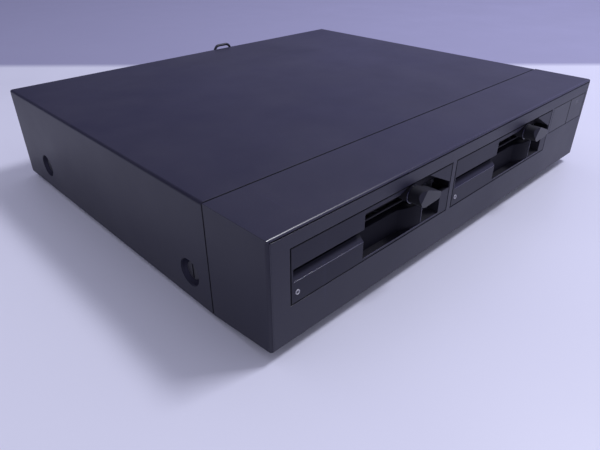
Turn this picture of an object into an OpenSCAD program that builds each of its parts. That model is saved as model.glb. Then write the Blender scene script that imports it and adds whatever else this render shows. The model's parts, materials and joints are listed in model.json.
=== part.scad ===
// Desktop unit with two slim 5.25-inch floppy disk drives side by side.
// The front faces -Y, +X is to the right seen from the front, and +Z is up.
// The origin lies on the table under the middle of the case.

/* [Case] */
// Width across the sides of the case
case_w = 390; // [380:1:430]
// Depth from the front face to the rear edge of the cover
case_d = 338; // [330:1:380]
// Height of the case without its feet
case_h = 76; // [76:1:96]
// Thickness of the moulded top cover
cover_wall = 2.5; // [2:0.1:3]
// Radius of the long top edges
edge_r = 2; // [1:0.1:2.4]
// Thickness of the sheet steel parts
sheet_t = 1.5; // [1:0.1:2]
// Gap between parts that sit side by side
seat_gap = 0.3; // [0.2:0.05:0.4]

/* [Feet] */
// Height of the rubber feet
foot_h = 4; // [3:0.5:8]
// Radius of a foot where it meets the base
foot_r = 9; // [8:0.5:12]
// Distance of a foot's centre from the side of the case
foot_inset = 32; // [31:1:40]
// Distance of the front feet from the front face
foot_front = 78; // [72:1:100]

/* [Front bezel] */
// Depth of the moulded front section
bezel_d = 52; // [46:1:60]
// Rise of its lower edge from the seam to the front
bezel_rise = 5; // [0:0.5:8]
// Thickness of its walls
bezel_wall = 3; // [2.5:0.1:3.5]
// Width of the dark seam behind it
seam_gap = 0.9; // [0.6:0.1:1.5]
// Width of the fine groove round the front face
groove_w = 0.9; // [0.5:0.1:1.5]
// Distance of that groove from the edge of the face
groove_inset = 1.3; // [1:0.1:2]

/* [Drive bays] */
// Distance of the left bay from the left side
bay_inset = 14.5; // [10:0.5:16]
// Width of a bay
bay_w = 148; // [147.5:0.5:150]
// Height of a bay
bay_h = 36.5; // [36.5:0.5:40]
// Height of the bays above the underside of the case
bay_z = 29; // [27:0.5:30]
// Width of the rib between the two bays
bay_rib = 4.5; // [4:0.5:8]
// Gap round a faceplate
bay_gap = 0.7; // [0.4:0.1:1]

/* [Faceplate] */
// Depth of the faceplate moulding
plate_d = 12; // [11:0.5:14]
// Thickness of its walls
plate_t = 2; // [1.5:0.1:2.4]
// Height of the disk slot
slot_h = 4.6; // [4.4:0.1:5]
// Height of the slot above the bay's lower edge
slot_z = 18.2; // [17.8:0.1:18.4]
// Drop of the sloped lower lip in front of the slot
lip_drop = 3.6; // [2:0.1:5]
// Depth of that sloped lip
lip_d = 3.4; // [2:0.1:5]
// Distance of the finger scoop from the bay's left edge
scoop_x = 58; // [50:1:62]
// Width of the finger scoop
scoop_w = 38; // [32:1:39]
// Depth of the finger scoop
scoop_d = 5.3; // [4:0.1:6]
// Width of the bulged post between the scoop and the pocket
post_w = 20; // [18:1:22]
// Width of the pocket beside the post
pocket_w = 20; // [16:1:22]
// Depth of that pocket
pocket_d = 8.5; // [8.2:0.1:9]

/* [Lever] */
// Distance of the lever's axis from the bay's left edge
lever_x = 104; // [100:1:108]
// Height of the lever's axis above the bay's lower edge
lever_z = 29; // [28.6:0.1:29.4]
// Radius of the lever's hub
hub_r = 5.6; // [4.5:0.1:5.8]
// Reach of the grip from the axis to its tip
grip_len = 16; // [14:0.5:18]
// How far the grip stands out of the faceplate
grip_out = 10; // [7:0.5:11]
// Radius of the grip's tip
tip_r = 2.8; // [1.4:0.1:3.2]
// Distance of the tip below the axis while the lever is open
tip_drop = 2.1; // [1:0.1:3.5]
// Turn of the lever from open to closed, in degrees
lever_turn = 90; // [80:1:95]
// Radius of the steel lever shaft
shaft_r = 2.5; // [2:0.1:2.8]

/* [Drive mechanism] */
// Length of the cast frame
frame_l = 190; // [188:1:194]
// Thickness of the frame's side walls
frame_t = 3; // [2.5:0.1:3.5]
// Thickness of the frame's deck
deck_t = 3; // [2.5:0.1:3.2]
// Distance of the spindle from the front face
spindle_y = 75; // [74:0.5:76]
// Radius of the spindle's disk seat
spindle_r = 17; // [15:0.5:18]
// Radius of the motor rotor
rotor_r = 30; // [26:0.5:31]
// Radius of the guide rods
rod_r = 2; // [1.5:0.1:2.2]
// Distance between the guide rods
rod_pitch = 30; // [28:1:31]
// Radial travel of the heads from the outer to the inner track
head_travel = 20.6; // [18:0.1:20.6]
// Radius of the stepper motor
stepper_r = 17; // [15:0.5:17.5]
// Radius of the stepper's capstan
capstan_r = 6.5; // [5:0.1:6.8]
// Drop of the clamp arm at the lever shaft as the lever closes
arm_drop = 3.7; // [2.5:0.05:3.7]
// Lift of the upper head arm while the lever is open, in degrees
head_lift = 2; // [1:0.1:2.5]

/* [Switch panel] */
// Gap between the right bay and the switch panel
panel_inset = 3.5; // [3:0.5:4]
// Height of the panel's lower edge above the underside
panel_z = 43; // [40:0.5:46]
// Width of the blank plate
blank_w = 35; // [30:1:40]
// Width of the power button
button_w = 31; // [24:1:33]
// Travel of the power button
button_travel = 3; // [2:0.5:4]
// Side of the square pilot window
window_w = 4.5; // [3:0.5:6]

/* [Cover screws] */
// Radius of the dished cups in the cover's sides
cup_r = 9.5; // [8:0.5:11]
// Depth of those cups
cup_d = 5.5; // [4:0.5:7]
// Height of the cups above the underside
cup_z = 20; // [16:0.5:24]
// Distance of the front cups from the front face
cup_front = 74; // [68:1:90]
// Distance of the rear cups from the front face
cup_rear = 290; // [270:1:300]
// Radius of a cover screw's head
cover_head_r = 6; // [4:0.5:7]
// Radius of a cover screw's shank
cover_shank_r = 2; // [1.5:0.1:2.5]

/* [Rear panel] */
// Distance of the interface connector from the left side
port_x = 230.5; // [215:0.5:240]
// Height of the interface connector's centre above the underside
port_z = 38.5; // [38:0.5:40]
// Height of the connector's flange
port_flange = 57; // [56:1:60]
// Width of the wire bails
bail_w = 24; // [23:0.5:26]
// Radius of the bail wire
bail_wire_r = 1.4; // [1:0.1:1.6]
// Reach of a bail from its pivots
bail_reach = 17.2; // [15:0.2:17.4]
// Distance of the mains inlet from the left side
inlet_x = 345; // [330:1:350]
// Height of the mains inlet above the underside
inlet_z = 34; // [30:1:40]
// Distance of the fuse holder from the left side
fuse_x = 300; // [290:1:306]

/* [Hidden] */
$fn = 48;

// One overrun serves every cut, and one clearance every running fit
over = 1;
fit = 0.05;

// Colours
charcoal = [0.16, 0.16, 0.19];
black = [0.07, 0.07, 0.08];
steel = [0.62, 0.63, 0.66];
casting = [0.55, 0.56, 0.58];
board_green = [0.12, 0.35, 0.2];
brass_tone = [0.75, 0.62, 0.3];
lamp_clear = [0.82, 0.8, 0.84];
grey_knob = [0.4, 0.4, 0.45];

// Case
front_y = -case_d / 2;
left_x = -case_w / 2;
total_h = foot_h + case_h;
rear_inset = 1;
cover_y = bezel_d + seam_gap;
tongue_l = 5;
tongue_t = 1.6;
inner_half = case_w / 2 - cover_wall - seat_gap;
base_front = bezel_d + tongue_l + seat_gap;
base_rear = case_d - rear_inset;
cup_floor = 2;
ear_x = case_w / 2 - cup_d - cup_floor;
ear_half = 12;
boss_wall = 2;
cover_head_h = 3;
cover_shank_l = 8;
screw_slot_w = 1.4;
screw_slot_d = 1.2;
foot_taper = 1.5;
foot_rear = case_d - foot_inset;
foot_head_r = 3.5;
foot_head_h = 1.6;
foot_shank_r = 1.6;
foot_sink = 2;
foot_shank_l = 6;

// Bezel
groove_d = 1.2;
bezel_slope = atan(bezel_rise / bezel_d);
bezel_wall_up = bezel_wall / cos(bezel_slope);

// Bays and drives, in the bay's own frame with its origin at its lower left front corner
bay_pitch = bay_w + bay_rib;
face_w = bay_w - 2 * bay_gap;
face_h = bay_h - 2 * bay_gap;
slot_side = 1.2;
slot_right = 1.2;
scoop_top = 33;
scoop_bottom = 2.4;
pocket_rim = 1;
pocket_x = scoop_x + scoop_w + post_w + pocket_rim;
pocket_right = pocket_x + pocket_w;
post_top_set = 0.3;
bulge_r = (post_w * post_w + pow(scoop_d - post_top_set, 2)) / (2 * (scoop_d - post_top_set));
lip_bar_t = 1;
lip_bar_d = 1.6;
arch_left = 90;
arch_left_top = 100;
arch_right_top = 119.6;
hub_gap = 0.3;
ring_w = 1;
ring_inner = hub_r - ring_w + hub_gap;
neck_r = ring_inner - hub_gap;
light_x = 5;
light_z = 7.2;
light_r = 1.6;
light_l = 9;

// Switch panel
panel_x = bay_inset + 2 * bay_w + bay_rib + panel_inset;
panel_w = blank_w + button_w;
panel_h = bay_z + bay_h - panel_z;
part_gap = 0.35;
blank_t = 3;
blank_lip = 2;
button_d = 14;
button_skirt = 2.5;
button_r = 3;
switch_y = 21;
stem_grip = 4;
switch_d = 26;
switch_h = 17;
switch_w = 15;
stem_l = switch_y + button_travel + stem_grip;
switch_post_r = 3;
switch_post_step = 3.8;
switch_post_z = [panel_z - switch_post_step, panel_z + panel_h + switch_post_step];
switch_flange = 2;
window_drop = 6;

// Carriage, drawn at the outer track
track_r = 57;
head_y = spindle_y + track_r;
head_set = 14;
carriage_y = head_y - head_set;
carriage_l = 52;
carriage_half = 20;
window_gap = 1.4;
window_park = 6;
carriage_z = 9.4;
carriage_top = 14.7;
head_r = 3.5;
riser_l = 6;
riser_half = 9;
riser_top = 25;
band_z = 27.4;
band_h = 5;
band_t = 0.2;
head_arm_t = 2.4;
head_arm_half = 5;
head_arm_z = 22.6;
head_pivot_y = carriage_y + carriage_l - riser_l / 2;

// Drive frame
frame_y = plate_d;
frame_x = 1;
frame_w = bay_w - 2 * frame_x;
frame_z = 1;
frame_top = 34;
deck_z = 9.5;
deck_top = deck_z + deck_t;
mid_x = bay_w / 2;
bar_low = slot_z + slot_h + bay_gap;
bar_t = 4;
bridge_y = 84;
bridge_w = 9;
bridge_t = 2.5;
ear_t = 3;
guide_w = 4;
disk_z = 18.7;
window_y = carriage_y - head_travel - window_gap;
window_l = carriage_y + carriage_l + window_park - window_y;
window_half = 25;
rod_z = 12;
rod_boss_l = 6;
rod_boss_half = 3.8;
rod_seat = 4;
rear_wall_h = 17;
standoff_r = 3;
standoff_x = 39;
standoff_y = 30;
motor_board_t = 1.6;
motor_board_z = 1.6;
motor_board_w = 88;
motor_board_l = 72;
lug_r = 3.2;
lug_x = 9;
lug_hole_r = 1.4;
lug_y_shares = [0.3, 0.87];
rail_front = 58;
drive_screw_r = lug_hole_r - fit;
drive_screw_l = 6;
drive_head_h = 2;

// Clamp arm, flat when the lever is closed
pin_x = 9;
pin_z = 24.6;
pin_r = 1.5;
barrel_r = 2.7;
arm_t = 1.6;
arm_y = 62;
arm_w = 30;
arm_top_closed = 22.7;
arm_reach = lever_x - pin_x + seat_gap / 2;
arm_tilt = asin(arm_drop / (lever_x - pin_x));
finger_w = 12;
finger_y = arm_y + 5;
finger_l = 11;
clamp_stud_r = 2;
clamp_flange_r = spindle_r;
clamp_cone_r = 14;
clamp_cone_tip_r = 12.5;
disk_t = 1.6;
cam_min = lever_z - arm_top_closed - arm_drop;
cam_core = 1.7;
cam_w = 10;
cam_air = 0.12;
shaft_front = 2.5;
shaft_neck = 7;

// Spindle and motor
spindle_shaft_r = 4;
spindle_seat_t = 4;
spindle_bore_r = clamp_cone_r + seat_gap;
spindle_sink = 1.4;
rotor_h = 4.4;
rotor_z = 4.4;
coil_r = 7;
coil_h = 0.9;
coil_ring = 19;

// Stepper
stepper_x = 116;
stepper_gap = 4;
stepper_y = frame_y + frame_l - frame_t - stepper_r - stepper_gap;
stepper_h = 13;
stepper_shaft_r = 2;
capstan_z = 26.6;
capstan_h = 6.4;
band_x = stepper_x - capstan_r - seat_gap - band_t;

// Boards and power supply
pcb_t = 1.6;
logic_y = 100;
logic_gap = 4;
logic_l = frame_y + frame_l - logic_gap - logic_y;
logic_edge = 3;
chip_w = 7;
chip_l = 18;
chip_h = 3.6;
chip_step = 15;
psu_x = 252;
psu_y = 218;
psu_w = 128;
psu_l = 105;
post_r = 3;
post_h = 6;
post_inset = 5;
core_w = 56;
core_l = 48;
core_h = 42;
coil_bulge = 9;
core_leg = 10;
fin_t = 1.5;
fin_gap = 4;
fin_count = 6;
sink_h = 34;
cap_r = 9;
cap_h = 30;
iface_x = 34;
iface_y = 224;
iface_w = 176;
iface_l = 92;
ribbon_w = 43;
ribbon_t = 1;
ribbon_bend = 4;

// Rear parts
inlet_w = 27;
inlet_h = 20;
inlet_flange_w = 34;
inlet_flange_t = 2.5;
inlet_depth = 16;
inlet_pin_r = 1.8;
inlet_pin_step = 7;
inlet_wall = 2;
fuse_r = 6.4;
fuse_cap_r = 8;
fuse_cap_h = 8;
fuse_depth = 24;
vent_w = 3;
vent_h = 34;
vent_step = 8;
vent_count = 9;
vent_x = 250;
port_w = 18;
port_flange_t = 2;
port_shell_w = 11;
port_shell_h = 38;
port_out = grip_out + rear_inset;
port_tongue_w = 3.6;
port_back = 12;
bail_pivot = 24.5;
bail_y = 5;
bail_bend_r = 6;
rear_face = base_rear;

// Draws its children in the frame of one drive bay
module in_bay(side) {
    translate([left_x + bay_inset + side * bay_pitch, front_y, foot_h + bay_z]) children();
}

// Draws its children in the frame of the case, measured from its lower left front corner
module in_case() {
    translate([left_x, front_y, foot_h]) children();
}

// A block given by its lowest and highest corners
module block(low, high) {
    translate(low) cube(high - low);
}

// Round bars along each axis, given by the point where they start
module bar_x(at, r, len) {
    translate(at) rotate([0, 90, 0]) cylinder(r = r, h = len);
}

module bar_y(at, r, len) {
    translate(at) rotate([-90, 0, 0]) cylinder(r = r, h = len);
}

module bar_z(at, r, len) {
    translate(at) cylinder(r = r, h = len);
}

// Rectangle with its two upper corners rounded
module rounded_top(w, h, r) {
    square([w, h - r]);
    translate([r, 0]) square([w - 2 * r, h]);
    for (x = [r, w - r]) translate([x, h - r]) circle(r);
}

// Board with a row of chips along X, from its lower left corner
module board(w, l, rows, columns) {
    color(board_green) cube([w, l, pcb_t]);
    for (i = [0:columns - 1]) for (j = [0:rows - 1])
        color(black) translate([w * (i + 0.5) / columns - chip_w / 2,
            l * (j + 0.5) / rows - chip_l / 2, pcb_t])
            cube([chip_w, chip_l, chip_h]);
}

// Top cover: roof and sides in one moulding, with a dished cup round each screw
module at_cups() {
    for (side = [-1, 1]) for (y = [cup_front, cup_rear])
        translate([side * case_w / 2, front_y + y, foot_h + cup_z]) rotate([0, -90 * side, 0]) children();
}

module top_cover() {
    color(charcoal) difference() {
        union() {
            translate([left_x, front_y + case_d, foot_h]) rotate([90, 0, 0])
                linear_extrude(case_d - cover_y) difference() {
                    rounded_top(case_w, case_h, edge_r);
                    translate([cover_wall, -over]) square([case_w - 2 * cover_wall,
                        case_h - cover_wall + over]);
                }
            at_cups() cylinder(r = cup_r + boss_wall, h = cup_d + cup_floor);
        }
        at_cups() translate([0, 0, -over]) cylinder(r = cup_r, h = cup_d + over);
        at_cups() translate([0, 0, -over]) cylinder(r = cover_shank_r + seat_gap,
            h = cup_d + cup_floor + 2 * over);
    }
}

// Big slotted screws at the bottom of the cups
module cover_screws() {
    color(black) at_cups() translate([0, 0, cup_d]) difference() {
        union() {
            translate([0, 0, -cover_head_h]) cylinder(r = cover_head_r, h = cover_head_h);
            cylinder(r = cover_shank_r, h = cover_shank_l);
        }
        translate([-cover_head_r - over, -screw_slot_w / 2, -cover_head_h - over])
            cube([2 * cover_head_r + 2 * over, screw_slot_w, screw_slot_d + over]);
    }
}

// Side outline of the bezel, front to the left and its lower edge rising to the front
module bezel_side() {
    difference() {
        polygon([[0, bezel_rise], [bezel_d, 0], [bezel_d, case_h], [0, case_h]]);
        translate([-over, case_h - edge_r]) square([edge_r + over, edge_r + over]);
    }
    translate([edge_r, case_h - edge_r]) circle(edge_r);
}

module bezel_hollow() {
    polygon([[bezel_wall, bezel_rise + bezel_wall_up], [bezel_d + over, bezel_wall_up],
        [bezel_d + over, case_h - bezel_wall], [bezel_wall, case_h - bezel_wall]]);
}

module along_x(w) {
    rotate([90, 0, 90]) linear_extrude(w) children();
}

module front_bezel() {
    color(charcoal) in_case() {
        difference() {
            intersection() {
                along_x(case_w) bezel_side();
                rotate([0, 0, 180]) translate([-case_w, -bezel_d, 0]) linear_extrude(case_h)
                    rounded_top(case_w, bezel_d, edge_r);
            }
            translate([bezel_wall, 0, 0]) along_x(case_w - 2 * bezel_wall) bezel_hollow();
            for (side = [0, 1]) translate([bay_inset + side * bay_pitch, -over, bay_z])
                cube([bay_w, bezel_wall + 2 * over, bay_h]);
            translate([panel_x, -over, panel_z]) cube([panel_w, bezel_wall + 2 * over, panel_h]);
            translate([groove_inset, -over, case_h - groove_inset - groove_w])
                cube([case_w - 2 * groove_inset, groove_d + over, groove_w]);
            for (x = [groove_inset, case_w - groove_inset - groove_w])
                translate([x, -over, bezel_rise]) cube([groove_w, groove_d + over,
                    case_h - bezel_rise - groove_inset]);
        }
        bezel_tongue();
        for (z = switch_post_z)
            bar_y([panel_x + panel_w - button_w / 2, bezel_wall - fit, z], switch_post_r,
                switch_y - bezel_wall + fit);
    }
}

// Tongue that reaches under the cover behind the seam
module bezel_tongue() {
    outer_x = cover_wall + seat_gap;
    outer_z = case_h - cover_wall - seat_gap;
    difference() {
        block([outer_x, bezel_d - bezel_wall, 0], [case_w - outer_x, bezel_d + tongue_l, outer_z]);
        block([outer_x + tongue_t, bezel_d - bezel_wall - over, bezel_wall_up],
            [case_w - outer_x - tongue_t, bezel_d + tongue_l + over, outer_z - tongue_t]);
    }
}

// Steel base: a floor between the sides, with an ear behind each cup
module base_chassis() {
    color(steel) difference() {
        union() {
            translate([-inner_half, front_y + base_front, foot_h])
                cube([2 * inner_half, base_rear - base_front, sheet_t]);
            for (side = [-1, 1]) for (y = [cup_front, cup_rear])
                translate([side * (ear_x - sheet_t / 2) - sheet_t / 2, front_y + y - ear_half, foot_h])
                    cube([sheet_t, 2 * ear_half, cup_z + ear_half]);
        }
        at_cups() cylinder(r = cover_shank_r + fit, h = case_w / 4);
        at_feet() translate([0, 0, foot_sink]) cylinder(r = foot_shank_r + fit, h = foot_h);
    }
}

module at_feet() {
    for (x = [left_x + foot_inset, -left_x - foot_inset]) for (y = [foot_front, foot_rear])
        translate([x, front_y + y, 0]) children();
}

module rubber_feet() {
    color(black) at_feet() difference() {
        cylinder(r1 = foot_r - foot_taper, r2 = foot_r, h = foot_h);
        translate([0, 0, -over]) cylinder(r = foot_head_r + seat_gap, h = foot_sink + over);
        translate([0, 0, -over]) cylinder(r = foot_shank_r + fit, h = foot_h + 2 * over);
    }
}

module foot_screws() {
    color(steel) at_feet() translate([0, 0, foot_sink]) {
        translate([0, 0, -foot_head_h]) cylinder(r = foot_head_r, h = foot_head_h);
        cylinder(r = foot_shank_r, h = foot_shank_l);
    }
}

// Rear panel with its cut-outs and a foot flange
module rear_panel() {
    color(steel) in_case() difference() {
        union() {
            block([cover_wall + seat_gap, rear_face - sheet_t, sheet_t],
                [case_w - cover_wall - seat_gap, rear_face, case_h - cover_wall - seat_gap]);
            block([cup_d + cup_floor + seat_gap + boss_wall, rear_face - sheet_t - ear_half, sheet_t],
                [case_w - cup_d - cup_floor - seat_gap - boss_wall, rear_face - sheet_t, 2 * sheet_t]);
        }
        translate([port_x - port_shell_w / 2, rear_face - sheet_t - over, port_z - port_shell_h / 2])
            cube([port_shell_w, sheet_t + 2 * over, port_shell_h]);
        translate([inlet_x - inlet_w / 2, rear_face - sheet_t - over, inlet_z - inlet_h / 2])
            cube([inlet_w, sheet_t + 2 * over, inlet_h]);
        bar_y([fuse_x, rear_face - sheet_t - over, inlet_z], fuse_r + fit, sheet_t + 2 * over);
        for (i = [0:vent_count - 1]) translate([iface_x + i * vent_step, rear_face - sheet_t - over,
            inlet_z - vent_h / 2])
            cube([vent_w, sheet_t + 2 * over, vent_h]);
    }
}

// Blank plate and power button in the panel beside the drives
module blank_plate() {
    color(charcoal) in_case() translate([panel_x, 0, panel_z]) {
        block([part_gap, 0, part_gap], [blank_w - part_gap, bezel_wall, panel_h - part_gap]);
        block([-blank_lip, bezel_wall, -blank_lip], [blank_w - part_gap, bezel_wall + blank_t,
            panel_h + blank_lip]);
    }
}

module at_button() {
    in_case() translate([panel_x + panel_w - button_w, 0, panel_z]) children();
}

module power_button() {
    color(charcoal) at_button() {
        difference() {
            block([part_gap, 0, part_gap], [button_w - part_gap, button_d, panel_h - part_gap]);
            block([button_skirt + part_gap, button_skirt + blank_t, button_skirt + part_gap],
                [button_w - button_skirt - part_gap, button_d + over, panel_h - button_skirt - part_gap]);
            translate([button_w / 2 - window_w / 2, -over, panel_h - window_drop - window_w / 2])
                cube([window_w, blank_t + over, window_w]);
        }
        bar_y([button_w / 2, button_skirt + blank_t - fit, panel_h / 2], button_r,
            stem_l - button_skirt - blank_t + fit);
    }
}

module power_lens() {
    color(lamp_clear) at_button()
        translate([button_w / 2 - window_w / 2 + fit, 0, panel_h - window_drop - window_w / 2 + fit])
            cube([window_w - 2 * fit, blank_t - fit, window_w - 2 * fit]);
}

module power_switch() {
    color(black) at_button() difference() {
        union() {
            block([button_w / 2 - switch_w / 2, switch_y + switch_flange, panel_h / 2 - switch_h / 2],
                [button_w / 2 + switch_w / 2, switch_y + switch_flange + switch_d,
                    panel_h / 2 + switch_h / 2]);
            block([button_w / 2 - switch_w / 2, switch_y, switch_post_z[0] - panel_z - switch_post_r],
                [button_w / 2 + switch_w / 2, switch_y + switch_flange,
                    switch_post_z[1] - panel_z + switch_post_r]);
        }
        bar_y([button_w / 2, switch_y - over, panel_h / 2], button_r + fit,
            stem_grip + 2 * button_travel + 2 * over);
    }
}

// Rails that carry the drives: a foot on the floor, a web and a shelf under the frame
module drive_rails() {
    color(steel) for (side = [0, 1]) in_bay(side) for (right = [0, 1])
        translate([right * bay_w, 0, 0]) mirror([right, 0, 0]) difference() {
            union() {
                block([frame_x, rail_front, sheet_t - bay_z],
                    [lug_x + lug_r, frame_y + frame_l, 2 * sheet_t - bay_z]);
                block([frame_x, rail_front, sheet_t - bay_z],
                    [frame_x + sheet_t, frame_y + frame_l, frame_z]);
                block([frame_x, rail_front, frame_z - sheet_t],
                    [lug_x + lug_r, frame_y + frame_l, frame_z]);
            }
            for (share = lug_y_shares) bar_z([lug_x, frame_y + frame_l * share, -bay_z + 3 * sheet_t],
                lug_hole_r, bay_z);
        }
}

// Screws from under the shelves into the frame's lugs
module drive_screws() {
    color(steel) for (side = [0, 1]) in_bay(side) for (x = [lug_x, bay_w - lug_x])
        for (share = lug_y_shares)
        translate([x, frame_y + frame_l * share, frame_z - sheet_t]) {
            translate([0, 0, -drive_head_h]) cylinder(r = 2 * drive_screw_r, h = drive_head_h);
            cylinder(r = drive_screw_r, h = drive_screw_l);
        }
}

// Faceplate: flat panels, slot with a sloped lip, finger scoop, bulged post and lever pocket
module faceplate_opening() {
    slot_top = slot_z + slot_h;
    polygon([[scoop_x, slot_top - over], [scoop_x, scoop_top], [arch_left, scoop_top],
        [arch_left_top, bay_h], [arch_right_top, bay_h],
        [bay_w - slot_right, slot_top], [bay_w - slot_right, slot_top - over]]);
}

module faceplate_cavity() {
    slot_top = slot_z + slot_h;
    // The dark space over the slot, open above the lever
    difference() {
        translate([0, plate_d - plate_t, 0]) rotate([90, 0, 0]) linear_extrude(plate_d)
            faceplate_opening();
        // A thin bar stays along the slot's upper edge, and a ring round the lever's neck
        block([scoop_x - over, scoop_d, slot_top], [lever_x, scoop_d + lip_bar_d, slot_top + lip_bar_t]);
        difference() {
            bar_y([lever_x, 0, lever_z], ring_inner + ring_w, plate_d);
            block([lever_x - hub_r - ring_w, -over, slot_z], [lever_x + hub_r + ring_w, plate_d + over,
                slot_top]);
        }
    }
    // The scoop under the slot, with the post standing forward on its right
    difference() {
        block([scoop_x, -over, scoop_bottom], [pocket_x, scoop_d, slot_z + over]);
        bar_z([scoop_x + scoop_w + post_w, bulge_r + post_top_set, scoop_bottom - over], bulge_r, bay_h);
        block([scoop_x + scoop_w + post_w, post_top_set, scoop_bottom - over], [pocket_x + over,
            plate_d, bay_h]);
    }
    // The pocket beside the post
    block([pocket_x, -over, scoop_bottom], [pocket_right, pocket_d, slot_z + over]);
}

module faceplate() {
    color(charcoal) difference() {
        block([bay_gap, 0, bay_gap], [bay_gap + face_w, plate_d, bay_gap + face_h]);
        faceplate_cavity();
        faceplate_back();
        block([bay_gap + slot_side, -over, slot_z], [bay_w - slot_right, plate_d + over, slot_z + slot_h]);
        translate([bay_gap + slot_side, 0, 0]) along_x(scoop_x - bay_gap - slot_side)
            polygon([[-over, slot_z - lip_drop - over * lip_drop / lip_d], [lip_d, slot_z],
                [lip_d, slot_z + slot_h / 2],
                [-over, slot_z + slot_h / 2]]);
        bar_y([lever_x, 0, lever_z], shaft_r + fit, plate_d + over);
        bar_y([lever_x, -over, lever_z], ring_inner, plate_d - plate_t + over);
        bar_y([light_x, -over, light_z], light_r + fit, plate_d + 2 * over);
    }
}

// Hollow back of the panels at the ends, as moulded
module faceplate_back() {
    block([pocket_right + plate_t, lip_d, bay_gap + plate_t],
        [bay_gap + face_w - plate_t, plate_d + over, slot_z + slot_h / 2]);
    block([bay_gap + plate_t + light_x + light_r, plate_t + lip_d, bay_gap + plate_t],
        [scoop_x - plate_t, plate_d + over, slot_z - plate_t]);
    block([bay_gap + plate_t, plate_t, slot_z + slot_h + plate_t],
        [scoop_x - plate_t, plate_d + over, bay_gap + face_h - plate_t]);
}

module activity_light() {
    color(lamp_clear) {
        bar_y([light_x, 0, light_z], light_r, light_l);
        translate([light_x, 0, light_z]) intersection() {
            sphere(r = light_r);
            block([-light_r, -light_r, -light_r], [light_r, 0, light_r]);
        }
    }
}

// Lever: a neck in the ring and a drop-shaped grip in front of the face
module grip_outline() {
    tip = [grip_len - tip_r, -tip_drop];
    dist = norm(tip);
    // Angle of the two straight flanks that touch both circles
    lean = atan2(tip[1], tip[0]);
    spread = acos((hub_r - tip_r) / dist);
    high = [cos(lean + spread), sin(lean + spread)];
    low = [cos(lean - spread), sin(lean - spread)];
    circle(hub_r);
    translate(tip) circle(tip_r);
    polygon([[0, 0], hub_r * low, tip + tip_r * low, tip, tip + tip_r * high, hub_r * high]);
}

module lever() {
    neck_back = plate_d - plate_t - seat_gap;
    bevel = hub_r * 0.42;
    color(grey_knob) translate([lever_x, 0, lever_z]) difference() {
        union() {
            bar_y([0, -seat_gap - over, 0], neck_r, neck_back + seat_gap + over);
            translate([0, -seat_gap, 0]) rotate([90, 0, 0]) linear_extrude(grip_out - seat_gap)
                grip_outline();
        }
        bar_y([0, shaft_front, 0], shaft_r + fit, plate_d);
        // The front is bevelled along the upper left of the hub
        translate([0, -grip_out, 0]) rotate([0, -55, 0]) translate([0, 0, hub_r - bevel])
            rotate([45, 0, 0]) translate([-2 * hub_r, -2 * hub_r, 0])
            cube([4 * hub_r, 4 * hub_r, 2 * hub_r]);
    }
}

// Shaft with the cam that presses the clamp arm down
module lever_shaft() {
    cam_y = finger_y + finger_w / 2 - cam_w / 2;
    neck_end = finger_y + finger_w + shaft_neck / 2;
    shaft_end = bridge_y + ear_t + over;
    color(steel) translate([lever_x, 0, lever_z]) {
        bar_y([0, shaft_front, 0], shaft_r, finger_y - shaft_neck / 2 - shaft_front);
        bar_y([0, finger_y - shaft_neck / 2 - fit, 0], cam_core,
            neck_end - finger_y + shaft_neck / 2 + 2 * fit);
        bar_y([0, neck_end, 0], shaft_r, shaft_end - neck_end);
        translate([0, cam_y + cam_w, 0]) rotate([90, 0, 0]) linear_extrude(cam_w) cam_outline();
    }
}

// The cam's radius grows evenly with the angle from straight down towards the grip
module cam_outline() {
    function cam_r(a) = cam_min - cam_air + arm_drop * min(a, lever_turn) / lever_turn;
    lobe = [for (a = [0:10:lever_turn + 20]) cam_r(a) * [sin(a), -cos(a)]];
    back = [for (a = [lever_turn + 50:25:335]) cam_core * [sin(a), -cos(a)]];
    polygon(concat(lobe, back));
}

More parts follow.
